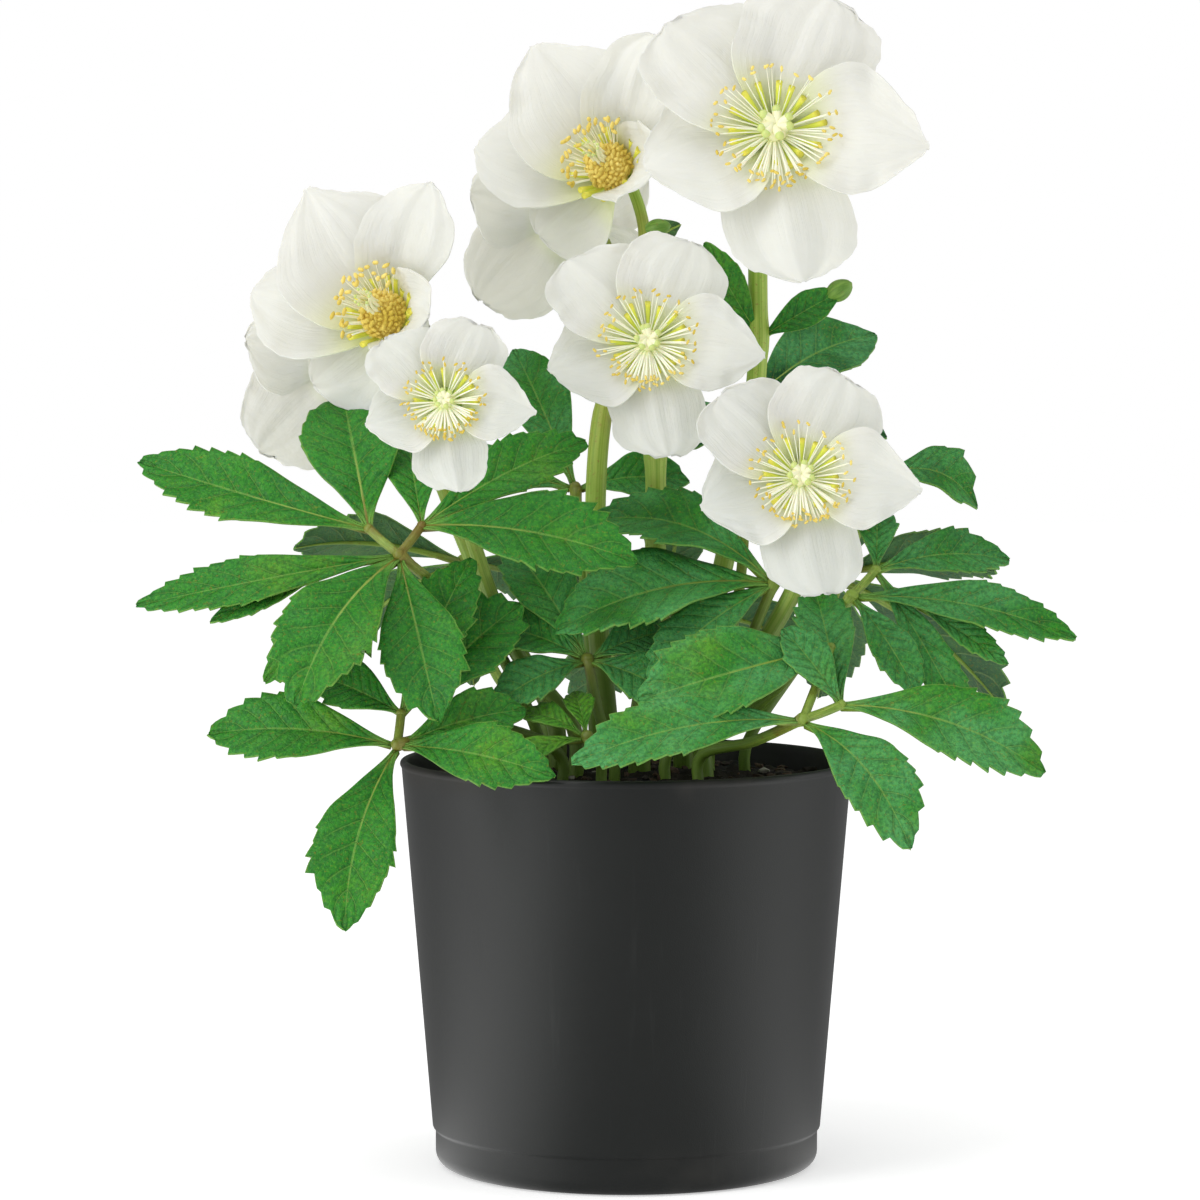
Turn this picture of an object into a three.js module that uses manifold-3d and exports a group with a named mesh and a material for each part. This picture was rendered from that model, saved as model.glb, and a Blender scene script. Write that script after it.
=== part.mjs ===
// A Christmas rose (Helleborus niger) in bloom, growing in a round plastic pot. Millimetres, +Z up. The
// pot stands on z = 0 around the Z axis, and the plant's front looks along -Y. Eight white blooms on
// six fleshy stems and thirteen fan-shaped leaves all rise from the soil near the axis.
import * as THREE from "three";
import { mergeVertices } from "three/addons/utils/BufferGeometryUtils.js";
import Module from "manifold-3d";

const wasm = await Module();
wasm.setup();

// ---------------------------------------------------------------- driving dimensions

// The pot: a tapered wall with a rounded lip, on a short foot that steps in and is rounded below.
const POT = {
  rim: 70, height: 126, lip: 2.6, bead: 0.5, wall: 2.2, floor: 3,
  foot: 59.2, footHeight: 12, step: 0.9, round: 4.5, sides: 36,
};

// The soil: its level below the rim, its mound in the middle, and its crumbs, which two ripples place.
const SOIL = {
  below: 8, mound: 4, crumb: 1.1, ripple: 0.4, swell: 0.22, sides: 20, rings: [16, 34, 52],
};

// Stems and leaf stalks stand in plain holes this deep in the soil.
const HOLE = { depth: 14, gap: 0.4, sides: 5 };
const SEAT = 0.3; // gap between a piece and what it stands in or against
const SLIVER = 0.04; // a triangle thinner than this is merged into its neighbours

// A leaf: its upright stalk, the knob where its leaflets meet, and the arms that some of them stand on.
const STALK = { radius: 1.7, sides: 5, steps: 5, upright: 11 };
const HUB = { radius: 3.6, clear: 1.9 }; // leaflets start this far from the middle, inside the knob
const ARM_RUNS_ON = 1; // an arm reaches this far into its leaflets

// A leaflet: its thickness at the edge and along the rib, how far it folds up on both sides of the rib,
// and its outline, whose widths are shares of the greatest.
const LEAFLET = {
  edge: 0.75, rib: 1.5, fold: 0.22, root: 0.08, slender: 1.6, fullest: 0.62, blunt: 0.85, end: 0.05,
  tooth: 0.1, toothLean: 0.05,
};

// A sepal: where it starts on the receptacle, its outline, how hollow it is across, how far its two
// edges are lifted and rolled, and the waves along them.
const SEPAL = {
  thick: 0.7, start: 4, foot: 0.16, swell: 0.8, fullest: 0.52, end: 0.06,
  cup: 0.13, over: 0.09, under: 0.22, liftFrom: 0.25, roll: 0.9, wave: 0.05, waves: 7,
};
const BLUNT_TIP = { shoulder: 3.6, round: 0.5 };
const POINTED_TIP = { shoulder: 1.35, round: 0.95 };

// The receptacle behind the sepals, and in front of it the heart with its stamens and pistils.
const RECEPTACLE = { radius: 5.4, neck: 3, back: 3.2, top: 4.6, front: 1.0, sides: 6 };
const HEART = { radius: 3.6, top: 2.2, height: 3, sides: 5 };
const STAMEN = {
  ring: 2.6, sunk: 1.1, inmost: 0.4, innerLength: 0.9, foot: 0.45, anther: 0.95, tip: 1.2, sides: 3,
};
const PISTIL = { foot: 1.5, sunk: 2, dome: 2.5, sides: 5, bloom: 44 };
const GOLDEN_SHARE = 0.381966; // of the way round, from each stamen to the next

// A flower stem: upright above the soil, and square to its bloom over the last stretch.
const STEM = { sides: 6, steps: 8, upright: 18, square: 7, branchSteps: 5, runsIn: 0.05 };

// ---------------------------------------------------------------- the plant

// The five sepals of a bloom: where each points, in degrees as seen face on, from 0 at the right. Its
// length and width are shares of the bloom's size, its tip is pointed by 0 to 1 and hooks round to a
// side, it leaves the receptacle and ends as steeply as rise says, in degrees, and its two edges lie
// over (1) or under (-1) the next sepal's.
const OPEN_FORM = [
  { at: -5, length: 1.06, width: 0.88, pointed: 1, hook: -0.06, rise: [30, -4], lifts: [1, 1] },
  { at: 69, length: 0.985, width: 0.94, pointed: 0, hook: -0.03, rise: [30, -6], lifts: [-1, 1] },
  { at: 129, length: 1.01, width: 0.94, pointed: 0.12, hook: 0.1, rise: [31, -5], lifts: [-1, 1] },
  { at: 203, length: 0.94, width: 0.92, pointed: 0.95, hook: -0.08, rise: [30, -7], lifts: [-1, 1] },
  { at: 276, length: 1.08, width: 0.82, pointed: 0.3, hook: 0.07, rise: [29, -10], lifts: [-1, -1] },
];
const CUP_FORM = [
  { at: -12, length: 0.64, width: 0.54, pointed: 0.1, hook: 0, rise: [68, 30], lifts: [1, 1] },
  { at: 67, length: 1.03, width: 0.62, pointed: 0.5, hook: -0.03, rise: [56, 12], lifts: [-1, 1] },
  { at: 120, length: 1.06, width: 0.92, pointed: 0.9, hook: 0.08, rise: [56, 10], lifts: [-1, 1] },
  { at: 169, length: 1, width: 0.86, pointed: 0.7, hook: 0.05, rise: [36, 0], lifts: [-1, 1] },
  { at: 219, length: 0.67, width: 0.74, pointed: 0.15, hook: 0, rise: [20, -14], lifts: [-1, -1] },
];
const REAR_FORM = [
  { at: 6, length: 1.02, width: 0.88, pointed: 0.3, hook: 0.05, rise: [34, -4], lifts: [-1, 1] },
  { at: 84, length: 0.96, width: 0.84, pointed: 0.3, hook: 0, rise: [34, -4], lifts: [-1, 1] },
  { at: 158, length: 0.86, width: 0.84, pointed: 0.5, hook: 0, rise: [34, -4], lifts: [-1, 1] },
  { at: 236, length: 0.84, width: 0.84, pointed: 0.3, hook: 0, rise: [34, -4], lifts: [-1, 1] },
  { at: 313, length: 1.24, width: 1, pointed: 0.05, hook: 0, rise: [34, -4], lifts: [-1, 1] },
];

// The stamens of each form: their spread in degrees off the axis, their length as a share of the
// bloom's size, their number, and the fan they fill. The pistils' length and radius are for a bloom of
// PISTIL.bloom. In a cup, anthers that haven't opened are packed in a dome.
const BRUSHES = new Map([
  [OPEN_FORM, { spread: [46, 65], length: 0.41, count: 12, fan: [0, 360], pistils: [9.5, 3.6] }],
  [CUP_FORM, {
    spread: [18, 33], length: 0.4, count: 9, fan: [60, 240], pistils: [21, 1.9],
    dome: { radius: 0.145, foot: 0.17, height: 0.19 },
  }],
  [REAR_FORM, { spread: [10, 50], length: 0.35, count: 10, fan: [0, 360], pistils: [9.5, 2.6] }],
]);

// centre: the receptacle. faces: the way the bloom looks. size: a mean sepal's length.
const BLOOMS = [
  { name: "top_right", form: OPEN_FORM, centre: [45, -10, 318], faces: [-0.02, -0.96, 0.26], size: 46.5 },
  { name: "middle", form: OPEN_FORM, centre: [6.4, -22, 254], faces: [-0.02, -0.96, 0.26], size: 35 },
  { name: "left_front", form: OPEN_FORM, centre: [-54, -56, 237], faces: [-0.04, -0.96, 0.26], size: 26.5 },
  { name: "right_front", form: OPEN_FORM, centre: [51.6, -46, 214], faces: [0, -0.96, 0.26], size: 35 },
  { name: "left", form: CUP_FORM, centre: [-71, 0, 260], faces: [-0.38, -0.86, 0.34], size: 48 },
  { name: "left_rear", form: REAR_FORM, centre: [-85, 26, 249], faces: [-0.3, 0.9, 0.1], size: 34 },
  { name: "top_left", form: CUP_FORM, centre: [-2, 32, 306], faces: [-0.38, -0.86, 0.34], size: 48 },
  { name: "top_left_rear", form: REAR_FORM, centre: [-16, 58, 295], faces: [-0.3, 0.9, 0.1], size: 34 },
];

// A flower stem runs from its foot in the soil through its way points to the back of its bloom. At its
// last way point but one, a branch may leave it for a second bloom, and both are thinner from there on:
// tip is their radius. Bracts are small leaves on it: start, tip, width and the way they face.
const FLOWER_STEMS = [
  { name: "top_right", radius: 3.1, foot: [18, 11], via: [[28, 14, 175], [40, 12, 240], [41, 9, 288]],
    bloom: "top_right",
    bracts: [
      { start: [41, 11, 256], tip: [24, 6, 285], width: 12, faces: [-0.3, -0.9, 0.2] },
      { start: [42, 12, 256], tip: [66, 6, 270], width: 11, faces: [0.2, -0.9, 0.3] },
    ] },
  { name: "middle", radius: 3.3, foot: [4, -6], via: [[8, 3, 165], [9, 5, 212], [8, -1, 238]],
    bloom: "middle",
    bracts: [{ start: [9, 4, 220], tip: [22, 12, 240], width: 9, faces: [0.2, -0.8, 0.5] }] },
  { name: "left_front", radius: 2.3, foot: [-16, -14],
    via: [[-34, -12, 160], [-49, -15, 200], [-55, -27, 222]], bloom: "left_front",
    bracts: [] },
  { name: "right_front", radius: 2.8, foot: [24, -14],
    via: [[40, -16, 160], [53, -20, 185], [54, -28, 202]], bloom: "right_front",
    bracts: [] },
  { name: "left", radius: 2.7, tip: 1.8, foot: [-22, 6],
    via: [[-40, 10, 170], [-56, 14, 208], [-63, 14, 240]],
    bloom: "left", branch: { via: [[-74, 16, 236]], bloom: "left_rear" },
    bracts: [{ start: [-57, 14, 212], tip: [-46, 26, 228], width: 9, faces: [0.3, 0.6, 0.6] }] },
  { name: "top_left", radius: 3.2, tip: 2, foot: [-6, 12],
    via: [[-9, 14, 170], [-8, 18, 228], [6, 34, 284]],
    bloom: "top_left", branch: { via: [[-5, 36, 280]], bloom: "top_left_rear" },
    bracts: [{ start: [6, 34, 284], tip: [17, 40, 291], width: 8, faces: [0.2, 0.8, 0.4] }] },
];

// A leaf has a stalk from its foot in the soil to its hub, short arms from the hub, and leaflets spread
// in one plane. Points are right and up of the hub, as seen from the front; their depth follows from
// the plane. start: where a leaflet leaves its arm or its neighbour, if not the hub. tip: where it
// ends. lift: how far its tip stands off the plane. arch: its bow out of the plane. bend: its bow
// sideways, in the plane.
const LEAVES = [
  { name: "left_upper", foot: [-26, -6], via: [[-43, -15, 166]], hub: [-68.7, -35, 191],
    faces: [-0.05, -0.8, 0.6], arms: [[-9.4, 7.5], [6.6, 8.4]],
    leaflets: [
      { start: [-9.4, 7.5], tip: [-80, 26], width: 23, arch: 4, lift: 2, bend: 3 },
      { start: [-9.4, 7.5], tip: [-19, 49], width: 31, arch: 3, lift: -3 },
      { start: [6.6, 8.4], tip: [1, 38], width: 17, arch: 3, lift: -6 },
      { start: [6.6, 8.4], tip: [56, 36], width: 20, arch: 5, lift: -5 },
      { start: [6.6, 8.4], tip: [71.6, -3], width: 27, arch: 7, lift: 2 },
      { tip: [-78.6, -15], width: 16, arch: 4, bend: 2 },
      { start: [-20, -4], tip: [-56, -20], width: 9, arch: 1, lift: 1 },
      { tip: [-28.3, -47], width: 30, arch: 5, lift: 8, bend: -3 },
      { tip: [12, -43], width: 25, arch: 3, lift: -8 },
      { tip: [-40, -32], width: 17, arch: 3, lift: -9 },
    ] },
  { name: "left_lower", foot: [-20, -26], via: [[-44, -40, 140]], hub: [-68.8, -50, 135],
    faces: [-0.1, -0.85, 0.5], arms: [[1, 9]],
    leaflets: [
      { tip: [-57, 2.4], width: 22, arch: 3, bend: -2 },
      { tip: [-14.3, -52], width: 25, arch: 4, bend: -3 },
      { tip: [48, -12], width: 20, arch: 5, lift: 9 },
      { tip: [38, 12], width: 17, arch: 4, lift: -4 },
      { start: [1, 9], tip: [-25, 21], width: 16, arch: 3, lift: -4 },
      { start: [1, 9], tip: [36, 43], width: 25, arch: 3, lift: -5 },
      { start: [1, 9], tip: [22, 52], width: 20, arch: 3, lift: 5 },
    ] },
  { name: "right_upper", foot: [26, -2], via: [[48, -8, 150]], hub: [68.5, -22, 178],
    faces: [0.05, -0.75, 0.65], arms: [[7.6, 7.2]],
    leaflets: [
      { start: [7.6, 7.2], tip: [49, 11], width: 17, arch: 3, lift: -2, bend: 2 },
      { tip: [67, -14], width: 17, arch: 4, lift: 2, bend: 2 },
      { start: [20, -3], tip: [46, -20], width: 9, arch: 1 },
      { start: [7.6, 7.2], tip: [9, 28], width: 12, arch: 2, lift: -3 },
      { tip: [19, -28], width: 14, arch: 3, lift: -2 },
      { start: [7.6, 7.2], tip: [36, -38], width: 13, arch: 3, lift: -7 },
    ] },
  { name: "right_lower", foot: [22, -28], via: [[38, -40, 135]], hub: [52.3, -54, 143],
    faces: [0.05, -0.75, 0.65], arms: [[11.6, 3.9], [9, 20]],
    leaflets: [
      { tip: [-69, -14], width: 21, arch: 5, lift: 4, bend: -2 },
      { start: [9, 20], tip: [-49, 6], width: 31, arch: 6, lift: -1, bend: 3 },
      { tip: [30, -37], width: 23, arch: 7, lift: 3, bend: 2 },
      { start: [11.6, 3.9], tip: [71, -16], width: 26, arch: 6, lift: 2, bend: 2 },
      { start: [11.6, 3.9], tip: [-6, 22], width: 14, arch: 2, lift: 6 },
      { start: [11.6, 3.9], tip: [5, 41], width: 17, arch: 2, lift: -5 },
    ] },
  { name: "front", foot: [12, -24], via: [[30, -22, 150]], hub: [45, -20, 182],
    faces: [0.05, -0.6, 0.8],
    leaflets: [
      { tip: [-57, 15], width: 26, arch: 8, lift: 3, bend: -3 },
      { tip: [-66, -8], width: 32, arch: 5, lift: -8, bend: -3 },
      { tip: [-38, -18], width: 19, arch: 4, lift: -13 },
    ] },
  { name: "centre", foot: [-4, -26], via: [[-8, -24, 140]], hub: [-12, -27, 159],
    faces: [0, -0.7, 0.7],
    leaflets: [
      { tip: [-28, -13], width: 17, arch: 3 },
      { tip: [-30, 9], width: 18, arch: 3 },
      { tip: [26, 8], width: 17, arch: 2 },
      { tip: [30, -13], width: 20, arch: 3 },
      { tip: [-24, 30], width: 21, arch: 3, lift: 5 },
    ] },
  { name: "mid_left", foot: [-10, 26], via: [[-12, 34, 165]], hub: [-16, 40, 208],
    faces: [-0.1, -0.75, 0.65],
    leaflets: [
      { tip: [-20, 43], width: 21, arch: 4 },
      { tip: [-48, 4], width: 20, arch: 4 },
      { tip: [36, 2], width: 18, arch: 4 },
    ] },
  { name: "right_rear", foot: [26, 14], via: [[36, 28, 180]], hub: [38, 36, 234],
    faces: [0.1, -0.75, 0.65],
    leaflets: [
      { tip: [42, 22], width: 25, arch: 3, bend: 3 },
      { tip: [44, -10], width: 22, arch: 4 },
      { tip: [-34, -14], width: 20, arch: 3 },
    ] },
  { name: "right", foot: [37, 4], via: [[60, 14, 165]], hub: [78, 10, 214],
    faces: [0.3, -0.6, 0.7],
    leaflets: [
      { tip: [31, -11], width: 23, arch: 5, bend: 4 },
      { tip: [-16, -14], width: 14, arch: 3 },
      { tip: [-14, 17], width: 14, arch: 3 },
    ] },
  { name: "rear_left", foot: [-24, 22], via: [[-42, 44, 150]], hub: [-52, 58, 184],
    faces: [-0.3, 0.65, 0.7],
    leaflets: [
      { tip: [-52, 6], width: 21, arch: 5 },
      { tip: [-42, -32], width: 23, arch: 6 },
      { tip: [2, -44], width: 24, arch: 6 },
      { tip: [36, -18], width: 20, arch: 5 },
    ] },
  { name: "rear", foot: [2, 32], via: [[8, 52, 145]], hub: [12, 66, 168],
    faces: [0.05, 0.72, 0.7],
    leaflets: [
      { tip: [-44, 4], width: 21, arch: 5 },
      { tip: [-28, -36], width: 24, arch: 6 },
      { tip: [16, -46], width: 24, arch: 6 },
      { tip: [48, -14], width: 22, arch: 5 },
      { tip: [6, 32], width: 20, arch: 4 },
    ] },
  { name: "rear_right", foot: [24, 28], via: [[48, 42, 150]], hub: [66, 52, 180],
    faces: [0.35, 0.6, 0.7],
    leaflets: [
      { tip: [50, 4], width: 22, arch: 5 },
      { tip: [56, -44], width: 29, arch: 6 },
      { tip: [-2, -44], width: 24, arch: 6 },
      { tip: [2, 20], width: 17, arch: 3 },
    ] },
  { name: "young_front", foot: [-8, -38], via: [[-10, -42, 130]], hub: [-12, -45, 137],
    faces: [0, -0.6, 0.8],
    leaflets: [
      { tip: [-26, -9], width: 9, arch: 3 },
      { tip: [-20, 6], width: 10, arch: 3 },
      { tip: [-4, 12], width: 9, arch: 2 },
    ] },
];

// ---------------------------------------------------------------- solids

const vec = (a) => new THREE.Vector3(a[0], a[1], a[2]);
const radians = THREE.MathUtils.degToRad;
const lerp = THREE.MathUtils.lerp;

// A closed three.js geometry as a manifold-3d solid.
function solid(geometry) {
  const bare = new THREE.BufferGeometry().setAttribute("position", geometry.getAttribute("position"));
  bare.setIndex(geometry.index);
  const merged = mergeVertices(bare, 1e-4);
  return new wasm.Manifold(
    new wasm.Mesh({
      numProp: 3,
      vertProperties: merged.attributes.position.array,
      triVerts: new Uint32Array(merged.index.array),
    }),
  );
}

function fuse(pieces) {
  return pieces.reduce((whole, piece) => whole.add(piece));
}

// A solid as a named mesh. Joining can seal a hollow or leave a loose scrap: only the outer shell is
// the piece. It also leaves slivers, which are merged away.
function meshOf(name, joined, material) {
  const { vertProperties, triVerts } = joined.asOriginal().simplify(SLIVER).getMesh();
  const geometry = new THREE.BufferGeometry();
  geometry.setAttribute("position", new THREE.BufferAttribute(vertProperties, 3));
  geometry.setIndex(outerShell(vertProperties.length / 3, triVerts));
  const mesh = new THREE.Mesh(geometry, material);
  mesh.name = name;
  return mesh;
}

// The triangles of the largest connected shell.
function outerShell(vertexCount, triVerts) {
  const parent = Array.from({ length: vertexCount }, (_, i) => i);
  const root = (i) => {
    while (parent[i] !== i) i = parent[i] = parent[parent[i]];
    return i;
  };
  for (let i = 0; i < triVerts.length; i += 3) {
    parent[root(triVerts[i + 1])] = root(triVerts[i]);
    parent[root(triVerts[i + 2])] = root(triVerts[i]);
  }
  const shells = new Map();
  for (let i = 0; i < triVerts.length; i += 3) {
    const shell = root(triVerts[i]);
    shells.set(shell, [...(shells.get(shell) ?? []), triVerts[i], triVerts[i + 1], triVerts[i + 2]]);
  }
  return [...shells.values()].sort((a, b) => b.length - a.length)[0];
}

// A thin closed blade over rows of points, each row as long as the next. Both faces are split alike.
function blade(rows) {
  const wide = rows[0].length;
  const layer = rows.length * wide;
  const position = [];
  for (const face of ["top", "under"]) {
    for (const point of rows.flat()) position.push(...point[face]);
  }
  const at = (i, j) => i * wide + j;
  const index = [];
  const wall = (a, b) => index.push(a, a + layer, b, b, a + layer, b + layer);
  for (let i = 0; i + 1 < rows.length; i++) {
    for (let j = 0; j + 1 < wide; j++) {
      const [a, b, c, d] = [at(i, j), at(i, j + 1), at(i + 1, j + 1), at(i + 1, j)];
      index.push(a, b, c, a, c, d);
      index.push(a + layer, c + layer, b + layer, a + layer, d + layer, c + layer);
    }
    wall(at(i + 1, 0), at(i, 0));
    wall(at(i, wide - 1), at(i + 1, wide - 1));
  }
  for (let j = 0; j + 1 < wide; j++) {
    wall(at(0, j), at(0, j + 1));
    wall(at(rows.length - 1, j + 1), at(rows.length - 1, j));
  }
  const geometry = new THREE.BufferGeometry();
  geometry.setAttribute("position", new THREE.Float32BufferAttribute(position, 3));
  geometry.setIndex(index);
  const made = solid(geometry);
  return made.volume() < 0 ? solid(flipped(geometry)) : made;
}

function flipped(geometry) {
  const index = geometry.index.array;
  for (let i = 0; i < index.length; i += 3) [index[i + 1], index[i + 2]] = [index[i + 2], index[i + 1]];
  return geometry;
}

// A round tube of one radius along a smooth curve through the points.
function tube(points, radius, sides, steps) {
  const section = new THREE.Shape();
  for (let k = 0; k < sides; k++) {
    const a = (k / sides) * 2 * Math.PI;
    section[k ? "lineTo" : "moveTo"](radius * Math.cos(a), radius * Math.sin(a));
  }
  const extrudePath = new THREE.CatmullRomCurve3(points.map(vec), false, "centripetal");
  return solid(new THREE.ExtrudeGeometry(section, { steps, extrudePath }));
}

// A round solid from its half profile of radius and height, standing at a point with its heights along
// an axis.
function turned(profile, sides, at, along) {
  const turn = new THREE.Quaternion().setFromUnitVectors(new THREE.Vector3(0, 1, 0), along);
  const place = new THREE.Matrix4().compose(at, turn, new THREE.Vector3(1, 1, 1));
  return solid(lathe(profile, sides).applyMatrix4(place));
}

function lathe(profile, sides) {
  return new THREE.LatheGeometry(profile.map(([r, z]) => new THREE.Vector2(r, z)), sides);
}

// ---------------------------------------------------------------- pot and soil

const POT_TOP_INSIDE = POT.rim - POT.wall;
const UP = new THREE.Vector3(0, 0, 1);
const ORIGIN = new THREE.Vector3();

// Inner radius of the pot's wall at a height.
function potInside(z) {
  return THREE.MathUtils.mapLinear(z, 0, POT.height, POT.foot - POT.wall, POT_TOP_INSIDE);
}

function pot() {
  const { rim, height, lip, bead, floor, foot, footHeight, step, round } = POT;
  const profile = [[0, 0], [foot - round, 0]];
  for (const turn of [45, 90].map(radians)) {
    profile.push([foot - round * (1 - Math.sin(turn)), round * (1 - Math.cos(turn))]);
  }
  profile.push([foot, footHeight - step], [foot + step, footHeight]);
  profile.push([rim - bead, height - lip], [rim, height - lip / 2], [rim - bead, height]);
  profile.push([POT_TOP_INSIDE + bead, height], [POT_TOP_INSIDE, height - lip / 3]);
  profile.push([potInside(floor), floor], [0, floor]);
  return turned(profile, POT.sides, ORIGIN, UP);
}

const SOIL_TOP = POT.height - SOIL.below;

// Height of the soil's surface: a low mound with coarse crumbs.
function soilHeight(x, y) {
  const r = Math.hypot(x, y) / POT_TOP_INSIDE;
  const crumbs = Math.sin(x * SOIL.ripple) * Math.cos(y * SOIL.ripple);
  const furrows = Math.sin(x * SOIL.swell - y * SOIL.ripple) / 2;
  return SOIL_TOP + SOIL.mound * (1 - r * r) + SOIL.crumb * (crumbs + furrows);
}

// The soil fills the pot. Its corners keep twice the gap to the wall, because the wall's flats cut in
// between its own corners.
function soil() {
  const base = POT.floor + SEAT;
  const edge = (z) => [potInside(z) - 2 * SEAT, z];
  const surface = [...SOIL.rings, 0].map((r) => [r, POT.height]).sort((a, b) => b[0] - a[0]);
  const geometry = lathe([[0, base], edge(base), edge(SOIL_TOP), ...surface], SOIL.sides);
  geometry.rotateX(Math.PI / 2);
  const position = geometry.getAttribute("position");
  for (let i = 0; i < position.count; i++) {
    const [x, y, z] = [position.getX(i), position.getY(i), position.getZ(i)];
    if (z > SOIL_TOP + SEAT) position.setZ(i, soilHeight(x, y));
  }
  const stems = [
    ...FLOWER_STEMS.map((stem) => [stem.foot, stem.radius]),
    ...LEAVES.map((leaf) => [leaf.foot, STALK.radius]),
  ];
  return stems.reduce((ground, [foot, radius]) => ground.subtract(hole(foot, radius)), solid(geometry));
}

function hole([x, y], radius) {
  const wide = (radius + HOLE.gap) / Math.cos(Math.PI / HOLE.sides);
  const high = 2 * HOLE.depth + SOIL.mound; // well out of the soil
  const profile = [[0, 0], [wide, 0], [wide, high], [0, high]];
  return turned(profile, HOLE.sides, new THREE.Vector3(x, y, SOIL_TOP - HOLE.depth), UP);
}

// The upright first stretch of a stem or stalk, standing in its hole.
function rooted([x, y], upright) {
  const bottom = SOIL_TOP - HOLE.depth + SEAT;
  return [[x, y, bottom], [x, y, SOIL_TOP], [x, y, SOIL_TOP + upright]];
}

// ---------------------------------------------------------------- leaves

// Half width along a leaflet, as a share of the greatest.
function leafletOutline(t) {
  const { root, slender, fullest, blunt, end } = LEAFLET;
  if (t < fullest) return root + (1 - root) * Math.sin((Math.PI / 2) * (t / fullest)) ** slender;
  return end + (1 - end) * Math.cos((Math.PI / 2) * ((t - fullest) / (1 - fullest))) ** blunt;
}

// Stations along a leaflet. A tooth stands out and leans to the tip, a notch is drawn in. A slim
// leaflet has none.
const TOOTHED = [[0], [0.3], [0.5, 1], [0.62, -1], [0.77, 1], [0.87, -1], [1]];
const PLAIN = [[0], [0.32], [0.6], [0.84], [1]];
const SLIM = 12; // a leaflet narrower than this has plain edges

function leaflet({ base, tip, faces, width, arch, bend = 0 }) {
  const chord = tip.clone().sub(base);
  const side = faces.clone().cross(chord).normalize();
  const up = chord.clone().cross(side).normalize();
  const point = (t, s, out) => {
    const half = (width / 2) * (leafletOutline(t) + out);
    const bow = 4 * t * (1 - t);
    return base.clone()
      .addScaledVector(chord, t)
      .addScaledVector(up, arch * bow + LEAFLET.fold * Math.abs(s) * half)
      .addScaledVector(side, s * half + bend * bow);
  };
  const rows = (width < SLIM ? PLAIN : TOOTHED).map(([t, tooth = 0]) =>
    [-1, 0, 1].map((s) => {
      const lean = s && tooth > 0 ? LEAFLET.toothLean : 0;
      const top = point(Math.min(t + lean, 1), s, s ? tooth * LEAFLET.tooth : 0);
      const thick = s ? LEAFLET.edge : LEAFLET.rib;
      return { top, under: top.clone().addScaledVector(up, -thick) };
    }),
  );
  return blade(rows);
}

// The point right and up of the hub, as seen from the front, on the leaf's plane and lifted off it.
function inLeafPlane(hub, faces, [right, up], lift) {
  const depth = -(faces.x * right + faces.z * up) / faces.y;
  return hub.clone().add(new THREE.Vector3(right, depth, up)).addScaledVector(faces, lift);
}

function leaf({ foot, via, hub, faces, arms = [], leaflets }) {
  const centre = vec(hub);
  const plane = vec(faces).normalize();
  const { radius, sides, steps, upright } = STALK;
  const knob = new THREE.OctahedronGeometry(HUB.radius).translate(...hub);
  const pieces = [tube([...rooted(foot, upright), ...via, hub], radius, sides, steps), solid(knob)];
  for (const arm of arms) {
    const end = inLeafPlane(centre, plane, arm, 0);
    end.addScaledVector(end.clone().sub(centre).normalize(), ARM_RUNS_ON);
    pieces.push(tube([hub, centre.clone().lerp(end, 0.5).toArray(), end.toArray()], radius, sides, 1));
  }
  for (const { start, tip, lift = 0, ...shape } of leaflets) {
    const end = inLeafPlane(centre, plane, tip, lift);
    const base = inLeafPlane(centre, plane, start ?? [0, 0], 0);
    if (!start) base.addScaledVector(end.clone().sub(base).normalize(), HUB.clear);
    pieces.push(leaflet({ base, tip: end, faces: plane, ...shape }));
  }
  return fuse(pieces);
}

// ---------------------------------------------------------------- flower stems

const BRACT_ARCH = 2;

function bract({ start, tip, width, faces }) {
  const way = { base: vec(start), tip: vec(tip), faces: vec(faces).normalize() };
  return leaflet({ ...way, width, arch: BRACT_ARCH });
}

// Ways into the back of a bloom, so that a stem ends square on its receptacle.
function approach(name) {
  const { centre, faces } = BLOOMS.find((bloom) => bloom.name === name);
  const back = (far) => vec(centre).addScaledVector(vec(faces).normalize(), -far).toArray();
  return [back(RECEPTACLE.back + STEM.square), back(RECEPTACLE.back + SEAT)];
}

function flowerStem({ foot, via, radius, tip, bloom, branch, bracts }) {
  const root = rooted(foot, STEM.upright);
  const pieces = [];
  if (branch) {
    const [below, fork, last] = via.slice(-3);
    const start = vec(fork).lerp(vec(below), STEM.runsIn).toArray();
    pieces.push(tube([...root, ...via.slice(0, -1)], radius, STEM.sides, STEM.steps - 2));
    for (const way of [[last, ...approach(bloom)], [...branch.via, ...approach(branch.bloom)]]) {
      pieces.push(tube([start, fork, ...way], tip, STEM.sides, STEM.branchSteps));
    }
  } else {
    pieces.push(tube([...root, ...via, ...approach(bloom)], radius, STEM.sides, STEM.steps));
  }
  pieces.push(...bracts.map(bract));
  return fuse(pieces);
}

// ---------------------------------------------------------------- blooms

// Axes of a bloom: right and up in its face, as seen face on, and the way it looks.
function bloomAxes({ faces }) {
  const axis = vec(faces).normalize();
  const right = new THREE.Vector3(-axis.y, axis.x, 0).normalize();
  return { axis, right, up: axis.clone().cross(right) };
}

// Half width along a sepal, as a share of the greatest. A pointed one narrows sooner.
function sepalOutline(t, pointed) {
  const { foot, swell, fullest, end } = SEPAL;
  if (t < fullest) return foot + (1 - foot) * Math.sin((Math.PI / 2) * (t / fullest)) ** swell;
  const past = (t - fullest) / (1 - fullest);
  const shoulder = lerp(BLUNT_TIP.shoulder, POINTED_TIP.shoulder, pointed);
  const round = lerp(BLUNT_TIP.round, POINTED_TIP.round, pointed);
  return Math.max(end, (1 - past ** shoulder) ** round);
}

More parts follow.
